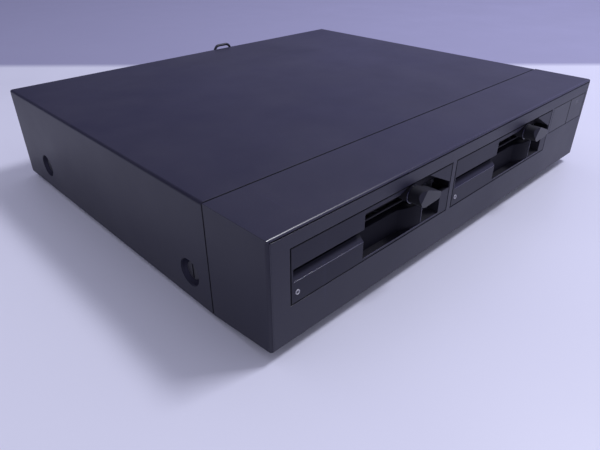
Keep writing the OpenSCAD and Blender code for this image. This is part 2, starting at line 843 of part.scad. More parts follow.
// Cast frame of a drive
module drive_frame() {
    rod_x = [mid_x - rod_pitch / 2, mid_x + rod_pitch / 2];
    color(casting) difference() {
        union() {
            for (x = [frame_x, frame_x + frame_w - frame_t])
                block([x, frame_y, frame_z], [x + frame_t, frame_y + frame_l, frame_top]);
            block([frame_x, frame_y, deck_z], [frame_x + frame_w, frame_y + frame_l, deck_top]);
            block([frame_x, frame_y, bar_low], [frame_x + frame_w, frame_y + bar_t, frame_top]);
            block([frame_x, frame_y + frame_l - frame_t, deck_z],
                [frame_x + frame_w, frame_y + frame_l, deck_z + rear_wall_h]);
            block([frame_x, bridge_y, frame_top - bridge_t],
                [frame_x + frame_w, bridge_y + bridge_w, frame_top]);
            block([lever_x - 2 * shaft_r, bridge_y, lever_z - 2 * shaft_r],
                [lever_x + 2 * shaft_r, bridge_y + ear_t, frame_top]);
            for (x = [frame_x + frame_t, frame_x + frame_w - frame_t - guide_w])
                block([x, frame_y + bar_t, deck_top], [x + guide_w, spindle_y + 2 * arm_w,
                    disk_z - seat_gap]);
            for (y = [arm_y - seat_gap - ear_t, arm_y + arm_w + seat_gap])
                block([frame_x, y, disk_z + 2 * disk_t], [pin_x + barrel_r, y + ear_t, pin_z + barrel_r]);
            bar_z([mid_x, spindle_y, deck_z], spindle_shaft_r + frame_t, deck_t + over);
            for (x = rod_x) for (y = [window_y - rod_boss_l, window_y + window_l])
                block([x - rod_boss_half, y, deck_z], [x + rod_boss_half, y + rod_boss_l, carriage_top]);
            for (x = [-standoff_x, standoff_x]) for (y = [-standoff_y, standoff_y])
                bar_z([mid_x + x, spindle_y + y, motor_board_z + motor_board_t], standoff_r,
                    deck_z - motor_board_z - motor_board_t + fit);
            for (x = [lug_x, bay_w - lug_x]) for (share = lug_y_shares)
                bar_z([x, frame_y + frame_l * share, frame_z], lug_r, deck_z - frame_z + fit);
        }
        block([mid_x - window_half, window_y, deck_z - over],
            [mid_x + window_half, window_y + window_l, deck_top + over]);
        bar_z([mid_x, spindle_y, deck_z - over], spindle_shaft_r + fit, deck_t + 3 * over);
        for (x = rod_x) bar_y([x, window_y - rod_seat, rod_z], rod_r + fit, window_l + 2 * rod_seat);
        bar_y([lever_x, frame_y - over, lever_z], shaft_r + fit, bar_t + 2 * over);
        bar_y([lever_x, bridge_y - over, lever_z], shaft_r + fit, ear_t + 2 * over);
        bar_y([pin_x, arm_y - ear_t - over, pin_z], pin_r + fit, arm_w + 2 * ear_t + 2 * over);
        for (x = [lug_x, bay_w - lug_x]) for (share = lug_y_shares)
            bar_z([x, frame_y + frame_l * share, frame_z - over], lug_hole_r, deck_z - frame_z);
        for (x = [-1, 1]) bar_z([mid_x + x * (bay_w / 4 + deck_z), frame_y + frame_l * 0.2,
            deck_z - over], deck_z, deck_t + 2 * over);
    }
}

// Clamp arm: pivots on the left, lifted while the lever is open
module tilted_arm() {
    translate([pin_x, 0, pin_z]) rotate([0, -arm_tilt, 0]) translate([-pin_x, 0, -pin_z]) children();
}

module clamp_arm() {
    plate_top = pin_z + arm_t / 2;
    plate_end = pin_x + arm_reach - finger_l;
    color(steel) tilted_arm() difference() {
        union() {
            bar_y([pin_x, arm_y, pin_z], barrel_r, arm_w);
            block([pin_x, arm_y, plate_top - arm_t], [plate_end, arm_y + arm_w, plate_top]);
            block([plate_end - arm_t, finger_y, arm_top_closed - arm_t],
                [plate_end, finger_y + finger_w, plate_top]);
            block([plate_end - arm_t, finger_y, arm_top_closed - arm_t],
                [pin_x + arm_reach, finger_y + finger_w, arm_top_closed]);
            for (y = [arm_y, arm_y + arm_w - arm_t])
                block([pin_x + barrel_r, y, plate_top - arm_t], [plate_end, y + arm_t, plate_top + arm_t]);
        }
        bar_y([pin_x, arm_y - over, pin_z], pin_r + fit, arm_w + 2 * over);
        bar_z([mid_x, spindle_y, pin_z - arm_t], clamp_stud_r + fit, 2 * arm_t);
        bar_z([(pin_x + mid_x) / 2, arm_y + arm_w / 2, pin_z - arm_t], arm_w / 4, 2 * arm_t);
    }
}

module hinge_pin() {
    color(steel) bar_y([pin_x, arm_y - seat_gap - ear_t, pin_z], pin_r, arm_w + 2 * seat_gap + 2 * ear_t);
}

// Hub clamp: a flange and a centring cone on a stud through the arm
module hub_clamp() {
    flange_z = disk_z + disk_t;
    arm_under = pin_z - arm_t / 2;
    color(grey_knob) tilted_arm() translate([mid_x, spindle_y, 0]) {
        translate([0, 0, disk_z - seat_gap]) cylinder(r1 = clamp_cone_tip_r, r2 = clamp_cone_r,
            h = disk_t + seat_gap);
        translate([0, 0, flange_z]) cylinder(r = clamp_flange_r, h = disk_t);
        translate([0, 0, flange_z]) cylinder(r = 2 * clamp_stud_r, h = arm_under - flange_z - seat_gap);
        translate([0, 0, flange_z]) cylinder(r = clamp_stud_r, h = arm_under + 2 * arm_t - flange_z);
        translate([0, 0, arm_under + arm_t + seat_gap]) cylinder(r = 2 * clamp_stud_r, h = arm_t);
    }
}

// Spindle with the disk seat on top of its shaft
module spindle() {
    color(steel) translate([mid_x, spindle_y, 0]) difference() {
        union() {
            translate([0, 0, disk_z - spindle_seat_t]) cylinder(r = spindle_r, h = spindle_seat_t);
            translate([0, 0, rotor_z]) cylinder(r = spindle_shaft_r, h = disk_z - rotor_z - over);
        }
        translate([0, 0, disk_z - spindle_sink]) cylinder(r = spindle_bore_r, h = spindle_sink + over);
    }
}

module motor_rotor() {
    color(steel) translate([mid_x, spindle_y, rotor_z]) difference() {
        cylinder(r = rotor_r, h = rotor_h);
        translate([0, 0, -over]) cylinder(r = spindle_shaft_r + fit, h = rotor_h + 2 * over);
        for (a = [0:60:300]) rotate([0, 0, a]) translate([rotor_r / 2, 0, -over])
            cylinder(r = spindle_shaft_r, h = rotor_h + 2 * over);
    }
}

module motor_board() {
    translate([mid_x - motor_board_w / 2, spindle_y - motor_board_l / 2, motor_board_z])
        color(board_green) cube([motor_board_w, motor_board_l, motor_board_t]);
    color(brass_tone) for (a = [0:60:300]) translate([mid_x, spindle_y, motor_board_z + motor_board_t])
        rotate([0, 0, a]) translate([coil_ring, 0, 0]) cylinder(r = coil_r, h = coil_h);
}

module guide_rods() {
    color(steel) for (side = [-1, 1])
        bar_y([mid_x + side * rod_pitch / 2, window_y - rod_seat, rod_z], rod_r, window_l + 2 * rod_seat);
}

// Head carriage on the two rods, with the lower head and the riser behind the disk
module head_carriage() {
    rear = carriage_y + carriage_l;
    color(casting) difference() {
        union() {
            block([mid_x - carriage_half, carriage_y, carriage_z],
                [mid_x + carriage_half, rear, carriage_top]);
            bar_z([mid_x, head_y, carriage_top - fit], head_r, disk_z - carriage_top - seat_gap);
            block([mid_x - riser_half, rear - riser_l, carriage_z],
                [mid_x + riser_half, rear, riser_top - head_arm_t - 2 * seat_gap]);
            for (x = [mid_x - riser_half, mid_x + riser_half - frame_t])
                block([x, rear - riser_l, carriage_z], [x + frame_t, rear, band_z + band_h]);
            block([mid_x + riser_half - frame_t, rear - riser_l, band_z], [band_x, rear, band_z + band_h]);
        }
        for (side = [-1, 1]) bar_y([mid_x + side * rod_pitch / 2, carriage_y - over, rod_z],
            rod_r + fit, carriage_l + 2 * over);
        block([mid_x - head_r, carriage_y + rod_boss_l, carriage_top - over],
            [mid_x + head_r, head_y - head_r - over, carriage_top + over]);
        bar_x([mid_x - riser_half - over, head_pivot_y, riser_top], pin_r + fit,
            2 * riser_half + 2 * over);
    }
}

// Upper head arm, lifted with the lever open
module head_arm() {
    inner = riser_half - frame_t - seat_gap;
    color(casting) translate([mid_x, head_pivot_y, riser_top]) rotate([-head_lift, 0, 0]) {
        block([-head_arm_half, head_y - head_pivot_y - head_r, head_arm_z - riser_top],
            [head_arm_half, 0, head_arm_z - riser_top + head_arm_t]);
        bar_x([-inner, 0, 0], head_arm_t, 2 * inner);
        bar_x([-riser_half, 0, 0], pin_r, 2 * riser_half);
        bar_z([0, head_y - head_pivot_y, disk_z + disk_t - riser_top], head_r,
            head_arm_z - disk_z - disk_t + fit);
    }
}

module stepper_motor() {
    color(steel) translate([stepper_x, stepper_y, deck_top]) difference() {
        union() {
            cylinder(r = stepper_r, h = stepper_h);
            cylinder(r = stepper_r / 2, h = stepper_h + disk_t / 2);
        }
        translate([0, 0, stepper_h / 2]) cylinder(r = stepper_shaft_r + fit, h = stepper_h);
    }
}

module capstan() {
    color(brass_tone) translate([stepper_x, stepper_y, 0]) {
        translate([0, 0, deck_top + stepper_h / 2 + seat_gap])
            cylinder(r = stepper_shaft_r, h = capstan_z - deck_top - stepper_h / 2 - seat_gap + fit);
        translate([0, 0, capstan_z]) cylinder(r = capstan_r, h = capstan_h);
    }
}

// Steel band from the carriage along the capstan
module positioner_band() {
    rear = carriage_y + carriage_l;
    color(steel) block([band_x, rear - riser_l, band_z],
        [band_x + band_t, stepper_y + head_travel + over, band_z + band_h]);
}

module logic_board() {
    translate([frame_x + logic_edge / 2, logic_y, frame_top]) board(frame_w - logic_edge, logic_l, 3, 7);
    color(black) translate([mid_x - ribbon_w / 2, logic_y + logic_l - chip_w, frame_top + pcb_t])
        cube([ribbon_w, chip_w, 2 * chip_h]);
}

// Boards and power supply on the base
module board_posts(w, l) {
    for (x = [post_inset, w - post_inset]) for (y = [post_inset, l - post_inset])
        translate([x, y, -post_h]) cylinder(r = post_r, h = post_h);
}

module power_supply_board() {
    in_case() translate([psu_x, psu_y, sheet_t + post_h]) {
        color(board_green) cube([psu_w, psu_l, pcb_t]);
        color(steel) board_posts(psu_w, psu_l);
    }
}

module on_supply() {
    in_case() translate([psu_x, psu_y, sheet_t + post_h + pcb_t]) children();
}

module mains_transformer() {
    on_supply() translate([psu_w - core_w - 2 * coil_bulge, coil_bulge, 0]) {
        color(steel) difference() {
            cube([core_w, core_l, core_h]);
            for (x = [core_leg, core_w / 2 + core_leg / 2]) translate([x, -over, core_leg])
                cube([core_w / 2 - 1.5 * core_leg, core_l + 2 * over, core_h - 2 * core_leg]);
        }
        color(brass_tone) for (x = [core_leg, core_w / 2 + core_leg / 2])
            translate([x, -coil_bulge, core_leg]) cube([core_w / 2 - 1.5 * core_leg,
                core_l + 2 * coil_bulge, core_h - 2 * core_leg]);
    }
}

module heat_sink() {
    color(black) on_supply() translate([post_inset + post_r, psu_l / 2, 0]) {
        cube([fin_t + (fin_count - 1) * (fin_gap + fin_t), 2 * fin_t, sink_h]);
        for (i = [0:fin_count - 1]) translate([i * (fin_gap + fin_t), 0, 0])
            cube([fin_t, fin_count * fin_gap, sink_h]);
    }
}

module smoothing_capacitors() {
    color(black) on_supply() for (i = [0:1]) translate([2 * cap_r, 1.5 * cap_r + i * 2.4 * cap_r, 0])
        cylinder(r = cap_r, h = cap_h);
}

module interface_board() {
    in_case() translate([iface_x, iface_y, sheet_t + post_h]) {
        board(iface_w, iface_l, 3, 8);
        color(steel) board_posts(iface_w, iface_l);
        color(black) for (side = [0, 1]) translate([ribbon_x(side) - iface_x, 0, pcb_t])
            cube([ribbon_w, chip_w, 2 * chip_h]);
    }
}

function ribbon_x(side)
    = side == 0 ? bay_inset + mid_x - ribbon_w / 2 : iface_x + iface_w - ribbon_w - chip_w;

// Flat ribbon cables from the drives down to the interface board
module ribbon_cables() {
    z_top = bay_z + frame_top + pcb_t + 2 * chip_h;
    z_low = sheet_t + post_h + pcb_t + 2 * chip_h;
    y_drive = logic_y + logic_l - chip_w / 2;
    color(grey_knob) in_case() {
        translate([ribbon_x(0), 0, 0]) ribbon_run(y_drive, iface_y + chip_w / 2, z_low, z_top);
        translate([bay_inset + bay_pitch + mid_x - ribbon_w / 2, 0, 0])
            block([0, y_drive, z_top], [ribbon_w, iface_y - chip_w - ribbon_t, z_top + ribbon_t]);
        block([ribbon_x(1), iface_y - chip_w - ribbon_t, z_top],
            [bay_inset + bay_pitch + mid_x + ribbon_w / 2, iface_y + ribbon_w, z_top + ribbon_t]);
        translate([ribbon_x(1), 0, 0]) ribbon_drop(iface_y - chip_w - ribbon_t, iface_y + chip_w / 2,
            z_low, z_top);
    }
}

module ribbon_run(y0, y1, z0, z1) {
    block([0, y0, z1], [ribbon_w, y1 - chip_w - ribbon_bend, z1 + ribbon_t]);
    ribbon_drop(y1 - chip_w - ribbon_bend, y1, z0, z1);
}

module ribbon_drop(y0, y1, z0, z1) {
    block([0, y0, z0], [ribbon_w, y0 + ribbon_t, z1 + ribbon_t]);
    block([0, y0, z0], [ribbon_w, y1, z0 + ribbon_t]);
}

// Mains inlet with its flange, well and three pins
module mains_inlet() {
    in_case() translate([inlet_x, rear_face, inlet_z]) {
        color(black) difference() {
            union() {
                block([-inlet_flange_w / 2, 0, -inlet_h / 2 - inlet_wall],
                    [inlet_flange_w / 2, inlet_flange_t, inlet_h / 2 + inlet_wall]);
                block([-inlet_w / 2 + fit, -inlet_depth - inlet_wall, -inlet_h / 2 + fit],
                    [inlet_w / 2 - fit, fit, inlet_h / 2 - fit]);
            }
            block([-inlet_w / 2 + inlet_wall, -inlet_depth, -inlet_h / 2 + inlet_wall],
                [inlet_w / 2 - inlet_wall, inlet_flange_t + over, inlet_h / 2 - inlet_wall]);
        }
        color(brass_tone) for (i = [-1:1])
            bar_y([i * inlet_pin_step, -inlet_depth - fit, (i == 0 ? 1 : -1) * inlet_wall],
                inlet_pin_r / 2, inlet_depth - inlet_wall);
    }
}

module fuse_holder() {
    color(black) in_case() translate([fuse_x, rear_face, inlet_z]) difference() {
        union() {
            bar_y([0, 0, 0], fuse_cap_r, fuse_cap_h);
            bar_y([0, -fuse_depth, 0], fuse_r, fuse_depth + fit);
        }
        translate([-fuse_cap_r, fuse_cap_h - screw_slot_d, -screw_slot_w / 2])
            cube([2 * fuse_cap_r, screw_slot_d + over, screw_slot_w]);
    }
}

// Upright interface connector with lugs for its wire bails
module interface_connector() {
    lug_half = bail_w / 2 - 2 * bail_wire_r - seat_gap;
    in_case() translate([port_x, rear_face, port_z]) {
        color(steel) difference() {
            union() {
                block([-port_w / 2, 0, -port_flange / 2], [port_w / 2, port_flange_t, port_flange / 2]);
                block([-port_shell_w / 2 + fit, -port_back, -port_shell_h / 2 + fit],
                    [port_shell_w / 2 - fit, port_out, port_shell_h / 2 - fit]);
                for (z = [-bail_pivot, bail_pivot])
                    block([-lug_half, 0, z - 2 * bail_wire_r],
                        [lug_half, bail_y + 2 * bail_wire_r, z + 2 * bail_wire_r]);
            }
            block([-port_shell_w / 2 + port_flange_t, 0, -port_shell_h / 2 + port_flange_t],
                [port_shell_w / 2 - port_flange_t, port_out + over, port_shell_h / 2 - port_flange_t]);
            for (z = [-bail_pivot, bail_pivot]) bar_x([-port_w, bail_y, z], bail_wire_r + fit, 2 * port_w);
        }
        color(black) block([-port_tongue_w / 2, -fit, -port_shell_h / 2 + 2 * port_flange_t],
            [port_tongue_w / 2, port_out - port_flange_t, port_shell_h / 2 - 2 * port_flange_t]);
    }
}

// Wire bail: two legs, two bends and a cross wire, pivoting in the lugs
module bail() {
    half = bail_w / 2 - bail_wire_r;
    leg = bail_reach - bail_wire_r - bail_bend_r;
    color(steel) {
        for (side = [-1, 1]) {
            bar_z([side * half, 0, 0], bail_wire_r, leg);
            bar_x([side > 0 ? half - 3 * bail_wire_r : -half, 0, 0], bail_wire_r, 3 * bail_wire_r);
            translate([side * half, 0, 0]) sphere(r = bail_wire_r);
            translate([side * (half - bail_bend_r), 0, leg]) rotate([90, 0, 0])
                rotate([0, 0, side > 0 ? 0 : 90])
                rotate_extrude(angle = 90) translate([bail_bend_r, 0]) circle(bail_wire_r);
        }
        bar_x([-half + bail_bend_r, 0, leg + bail_bend_r], bail_wire_r, 2 * (half - bail_bend_r));
    }
}

module upper_bail() {
    in_case() translate([port_x, rear_face + bail_y, port_z + bail_pivot]) bail();
}

module lower_bail() {
    in_case() translate([port_x, rear_face + bail_y, port_z - bail_pivot]) rotate([180, 0, 0]) bail();
}

top_cover();
front_bezel();
base_chassis();
rear_panel();
cover_screws();
rubber_feet();
foot_screws();
blank_plate();
power_button();
power_lens();
power_switch();
drive_rails();
drive_screws();
power_supply_board();
mains_transformer();
heat_sink();
smoothing_capacitors();
interface_board();
ribbon_cables();
mains_inlet();
fuse_holder();
interface_connector();
upper_bail();
lower_bail();
in_bay(0) faceplate();  // left_faceplate
in_bay(0) activity_light();  // left_activity_light
in_bay(0) lever();  // left_lever
in_bay(0) lever_shaft();  // left_lever_shaft
in_bay(0) drive_frame();  // left_drive_frame
in_bay(0) clamp_arm();  // left_clamp_arm
in_bay(0) hinge_pin();  // left_hinge_pin
in_bay(0) hub_clamp();  // left_hub_clamp
in_bay(0) spindle();  // left_spindle
in_bay(0) motor_rotor();  // left_motor_rotor
in_bay(0) motor_board();  // left_motor_board
in_bay(0) guide_rods();  // left_guide_rods
in_bay(0) head_carriage();  // left_head_carriage
in_bay(0) head_arm();  // left_head_arm
in_bay(0) stepper_motor();  // left_stepper_motor
in_bay(0) capstan();  // left_capstan
in_bay(0) positioner_band();  // left_positioner_band
in_bay(0) logic_board();  // left_logic_board
in_bay(1) faceplate();  // right_faceplate
in_bay(1) activity_light();  // right_activity_light
in_bay(1) lever();  // right_lever
in_bay(1) lever_shaft();  // right_lever_shaft
in_bay(1) drive_frame();  // right_drive_frame
in_bay(1) clamp_arm();  // right_clamp_arm
in_bay(1) hinge_pin();  // right_hinge_pin
in_bay(1) hub_clamp();  // right_hub_clamp
in_bay(1) spindle();  // right_spindle
in_bay(1) motor_rotor();  // right_motor_rotor
in_bay(1) motor_board();  // right_motor_board
in_bay(1) guide_rods();  // right_guide_rods
in_bay(1) head_carriage();  // right_head_carriage
in_bay(1) head_arm();  // right_head_arm
in_bay(1) stepper_motor();  // right_stepper_motor
in_bay(1) capstan();  // right_capstan
in_bay(1) positioner_band();  // right_positioner_band
in_bay(1) logic_board();  // right_logic_board
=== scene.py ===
import json
import math

import bmesh
import bpy
from bpy.props import FloatProperty, FloatVectorProperty, PointerProperty
from bpy.types import Operator, Panel, PropertyGroup
from mathutils import Matrix, Vector


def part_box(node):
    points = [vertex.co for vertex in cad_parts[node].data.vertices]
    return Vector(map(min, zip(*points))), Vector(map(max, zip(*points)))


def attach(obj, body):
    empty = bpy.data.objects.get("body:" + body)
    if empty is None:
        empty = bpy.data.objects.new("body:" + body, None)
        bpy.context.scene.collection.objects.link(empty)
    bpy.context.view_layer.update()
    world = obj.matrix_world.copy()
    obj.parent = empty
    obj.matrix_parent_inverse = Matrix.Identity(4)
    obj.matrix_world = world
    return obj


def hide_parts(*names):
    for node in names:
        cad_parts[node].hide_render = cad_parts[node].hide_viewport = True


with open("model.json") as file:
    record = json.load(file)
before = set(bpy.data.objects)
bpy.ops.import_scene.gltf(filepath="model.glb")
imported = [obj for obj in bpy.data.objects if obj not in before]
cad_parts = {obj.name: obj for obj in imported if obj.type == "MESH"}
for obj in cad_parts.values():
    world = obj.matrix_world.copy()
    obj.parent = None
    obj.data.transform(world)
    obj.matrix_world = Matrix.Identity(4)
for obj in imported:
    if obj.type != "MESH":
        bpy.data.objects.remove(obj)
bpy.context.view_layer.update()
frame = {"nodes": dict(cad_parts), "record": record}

bl_info = {
    "name": "Twin disk drive unit",
    "version": (1, 0, 0),
    "blender": (4, 5, 0),
    "location": "View3D > Sidebar > Disk unit",
    "description": "Dresses the packed model of a desktop unit with two slim disk drives",
    "category": "Object",
}

NODES = frame["nodes"]
SLOT_OF = {row["node"]: row["material_slot"] for row in frame["record"]["subparts"]}
BODY_OF = {n: body for body, names in frame["record"]["behaviour"]["bodies"].items() for n in names}
SIDES = ("left", "right")
MM = 0.001
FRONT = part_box("front_bezel")[0][1]
REAR = FRONT + 0.337
CASE_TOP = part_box("front_bezel")[1][2]
CASE_HALF = 0.195
COVER_SEAM = FRONT + 0.05245
BAY_LEFT = -0.1805
BAY_PITCH = 0.1525
BAY_WIDTH = 0.148
BAY_LOW = 0.033
BAY_HIGH = 0.0695
CUP_LEVEL = 0.024
PORT = (-CASE_HALF + 0.2305, REAR, 0.0425)
INLET = (-CASE_HALF + 0.345, REAR, 0.038)

# Level directions of the stage: away from the viewer, and to the viewer's right
AWAY = (0.695, 0.719, 0.0)
RIGHTWARDS = (0.719, -0.695, 0.0)

# Sizes of the added pieces, in millimetres, and the angle over which an edge is sharp
BEZEL_RISE = 5.0
EDGE_RADIUS = 2.0
FACE_ROOM = 0.7
PANEL_ROOM = 0.35
BLANK_LIP = 2.0
CUP_PLACES = (74, 290)
LIGHT = (5, 0, 7.2)
LEVER = (104, 29)
NECK_RADIUS = 6.2
LIP_LEVEL = 14.55
POST_EDGE = 116.6
SCOOP_LEFT = 58.06
SCOOP_CURVE = (116, 42.8)
SCOOP_RADIUS = 42.56
POCKET_LEFT = 117.06
POCKET_RIGHT = 136.94
POCKET_BACK = 8.44
CORNER = 1.0
LINING_FLOOR = (2.42, 2.45)
LINING_WALL = (2.46, 18.12)
LINING_SKIN = 0.035
COLLAR = ((0.95, 0.3), (1.02, -0.35), (1.15, -0.55), (1.32, -0.6), (1.48, -0.48), (1.56, -0.2), (1.56, 9.0),
          (0.95, 9.0))
CORE = ((0.0, 0.0), (0.5, 0.04), (0.93, 0.2), (0.93, 8.9), (0.0, 8.9))
DISH = ((9.44, 0.35), (9.30, 1.1), (9.0, 2.0), (8.55, 2.9), (8.0, 3.7), (7.4, 4.4), (6.8, 4.95), (6.2, 5.3),
        (6.2, 5.46), (9.44, 5.46))
CONTACTS = 18
CONTACT_STEP = 1.62
BLADE_STEP = 7
SMOOTH_ANGLE = math.radians(35)


# Settings that a user would change

class FinishSettings(PropertyGroup):
    """Colours and surface detail of the unit"""
    case_colour: FloatVectorProperty(
        name="Case", description="Moulded case and cover", subtype="COLOR", size=3, min=0, max=1,
        default=(0.0088, 0.0081, 0.0222))
    trim_colour: FloatVectorProperty(
        name="Switch panel", description="Power button and blank plate", subtype="COLOR", size=3,
        min=0, max=1, default=(0.0108, 0.0106, 0.0220))
    face_colour: FloatVectorProperty(
        name="Faceplates", description="Fronts of the drives", subtype="COLOR", size=3, min=0, max=1,
        default=(0.0074, 0.0068, 0.0188))
    lever_colour: FloatVectorProperty(
        name="Levers", description="Clamp levers", subtype="COLOR", size=3, min=0, max=1,
        default=(0.0080, 0.0078, 0.0130))
    edge_round: FloatProperty(
        name="Edge rounding", description="Radius of the moulded edges", subtype="DISTANCE",
        unit="LENGTH", min=0.0001, max=0.001, default=0.0003)
    stipple_size: FloatProperty(
        name="Stipple", description="Size of the fine moulded texture", subtype="DISTANCE",
        unit="LENGTH", min=0.0002, max=0.002, default=0.0006)
    wear: FloatProperty(
        name="Wear", description="Polish and chips along the edges", subtype="FACTOR",
        min=0, max=1, default=0.45)
    dust: FloatProperty(
        name="Dust", description="Dust on surfaces that face up", subtype="FACTOR",
        min=0, max=1, default=0.25)


class StageSettings(PropertyGroup):
    """Floor, backdrop, lamps and camera"""
    floor_colour: FloatVectorProperty(
        name="Floor", description="Sheet under the unit", subtype="COLOR", size=3, min=0, max=1,
        default=(0.74, 0.73, 0.90))
    backdrop_colour: FloatVectorProperty(
        name="Backdrop", description="Wall behind the unit", subtype="COLOR", size=3, min=0, max=1,
        default=(0.285, 0.275, 0.43))
    backdrop_line: FloatProperty(
        name="Backdrop line", description="How far from the middle of the unit the backdrop starts",
        subtype="DISTANCE", unit="LENGTH", min=0.2, max=3, default=0.39)
    key_power: FloatProperty(
        name="Key lamp", description="Power of the ceiling lamp", subtype="POWER",
        unit="POWER", min=0, max=200, default=27.0)
    mirror_colour: FloatVectorProperty(
        name="Reflections", description="Tone of the room in the unit's gloss", subtype="COLOR",
        size=3, min=0, max=1, default=(0.27, 0.265, 0.50))
    world_level: FloatProperty(
        name="Ambient", description="Level of the light from all round", min=0, max=2, default=0.57)
    lens: FloatProperty(
        name="Lens", description="Focal length of the camera", unit="CAMERA", subtype="DISTANCE_CAMERA",
        min=10, max=200, default=31.24)
    camera_place: FloatVectorProperty(
        name="Camera", description="Where the camera stands", subtype="XYZ", unit="LENGTH", size=3,
        default=(-0.3246, -0.3254, 0.2109))
    camera_yaw: FloatProperty(
        name="Yaw", description="Heading of the camera, clockwise from straight ahead",
        subtype="ANGLE", unit="ROTATION", default=math.radians(44.01))
    camera_pitch: FloatProperty(
        name="Pitch", description="Tilt of the camera below level", subtype="ANGLE",
        unit="ROTATION", default=math.radians(31.0))
    camera_roll: FloatProperty(
        name="Roll", description="Roll of the camera", subtype="ANGLE", unit="ROTATION",
        default=math.radians(-0.15))


# Shader helpers

class Tree:
    """Short calls for nodes and links in one node tree"""

    def __init__(self, tree):
        self.tree = tree

    def node(self, kind, inputs=None, **values):
        made = self.tree.nodes.new(kind)
        for key, value in values.items():
            setattr(made, key, value)
        for key, value in (inputs or {}).items():
            self.feed(made.inputs[key], value)
        return made

    def feed(self, socket, value):
        if isinstance(value, bpy.types.NodeSocket):
            self.tree.links.new(value, socket)
        elif isinstance(value, (tuple, list)) and socket.type == "RGBA" and len(value) == 3:
            socket.default_value = (*value, 1)
        else:
            socket.default_value = value

    def maths(self, operation, a, b=0.0, clamp=False):
        return self.node("ShaderNodeMath", {0: a, 1: b}, operation=operation, use_clamp=clamp).outputs[0]

    def remap(self, value, low, high, to_low=0.0, to_high=1.0):
        return self.node("ShaderNodeMapRange", {"Value": value, "From Min": low, "From Max": high,
                                                "To Min": to_low, "To Max": to_high}).outputs["Result"]

    def mix(self, factor, a, b):
        made = self.node("ShaderNodeMix", data_type="RGBA")
        self.feed(made.inputs[0], factor)
        self.feed(made.inputs[6], a)
        self.feed(made.inputs[7], b)
        return made.outputs[2]

    def noise(self, vector, scale, detail=3.0, roughness=0.5):
        return self.node("ShaderNodeTexNoise", {"Vector": vector, "Scale": scale, "Detail": detail,
                                                "Roughness": roughness}).outputs["Fac"]

    def stretched(self, vector, scale):
        return self.node("ShaderNodeMapping", {"Vector": vector, "Scale": scale}).outputs["Vector"]


def new_group(name, inputs, outputs):
    """An empty node group with numbers going in, and its input and output nodes"""
    group = bpy.data.node_groups.new(name, "ShaderNodeTree")
    for label, value in inputs.items():
        socket = group.interface.new_socket(name=label, in_out="INPUT", socket_type="NodeSocketFloat")
        socket.default_value = value
    for label, kind in outputs.items():
        group.interface.new_socket(name=label, in_out="OUTPUT", socket_type=kind)
    t = Tree(group)
    return t, t.node("NodeGroupInput").outputs, t.node("NodeGroupOutput").inputs


def group_stipple():
    """Fine spark-eroded texture with a slow change in its depth"""
    t, given, out = new_group("Moulded stipple", {"Size": 0.0006, "Depth": 1.0},
                              {"Height": "NodeSocketFloat", "Patches": "NodeSocketFloat"})
    place = t.node("ShaderNodeTexCoord").outputs["Object"]
    fine = t.maths("DIVIDE", 1.0, given["Size"])
    grains = t.noise(place, fine, 2.0, 0.6)
    pits = t.node("ShaderNodeTexVoronoi", {"Vector": place, "Scale": fine}, feature="SMOOTH_F1").outputs[0]
    slow = t.noise(place, 14.0, 3.0, 0.6)
    depth = t.remap(slow, 0.3, 0.7, 0.7, 1.0)
    both = t.maths("ADD", grains, t.maths("MULTIPLY", pits, 0.6))
    t.feed(out["Height"], t.maths("MULTIPLY", t.maths("MULTIPLY", both, depth), given["Depth"]))
    t.feed(out["Patches"], slow)
    return t.tree


def group_wear():
    """Mask along worn convex edges, broken up by noise"""
    t, given, out = new_group("Edge wear", {"Radius": 0.0008, "Amount": 0.5},
                              {"Mask": "NodeSocketFloat", "Edge": "NodeSocketFloat",
                               "Normal": "NodeSocketVector"})
    soft = t.node("ShaderNodeBevel", {"Radius": given["Radius"]}, samples=6).outputs["Normal"]
    sharp = t.node("ShaderNodeNewGeometry").outputs["Normal"]
    along = t.node("ShaderNodeVectorMath", {0: soft, 1: sharp}, operation="DOT_PRODUCT").outputs["Value"]
    edge = t.remap(along, 0.995, 0.86)
    place = t.node("ShaderNodeTexCoord").outputs["Object"]
    rubbed = t.remap(t.noise(place, 160.0, 5.0, 0.7), 0.42, 0.66)
    t.feed(out["Mask"], t.maths("MULTIPLY", t.maths("MULTIPLY", edge, rubbed), given["Amount"], True))
    t.feed(out["Edge"], edge)
    t.feed(out["Normal"], soft)
    return t.tree


def group_dust():
    """Mask of the dust that lies on faces turned up"""
    t, given, out = new_group("Settled dust", {"Amount": 0.25}, {"Mask": "NodeSocketFloat"})
    normal = t.node("ShaderNodeNewGeometry").outputs["Normal"]
    up = t.remap(t.node("ShaderNodeSeparateXYZ", {0: normal}).outputs["Z"], 0.3, 0.95)
    place = t.node("ShaderNodeTexCoord").outputs["Object"]
    drift = t.remap(t.noise(place, 9.0, 4.0, 0.6), 0.35, 0.75)
    specks = t.remap(t.noise(place, 1500.0, 2.0, 0.5), 0.60, 0.74)
    film = t.maths("ADD", t.maths("MULTIPLY", drift, 0.35), t.maths("MULTIPLY", specks, 0.65))
    t.feed(out["Mask"], t.maths("MULTIPLY", t.maths("MULTIPLY", film, up), given["Amount"], True))
    return t.tree


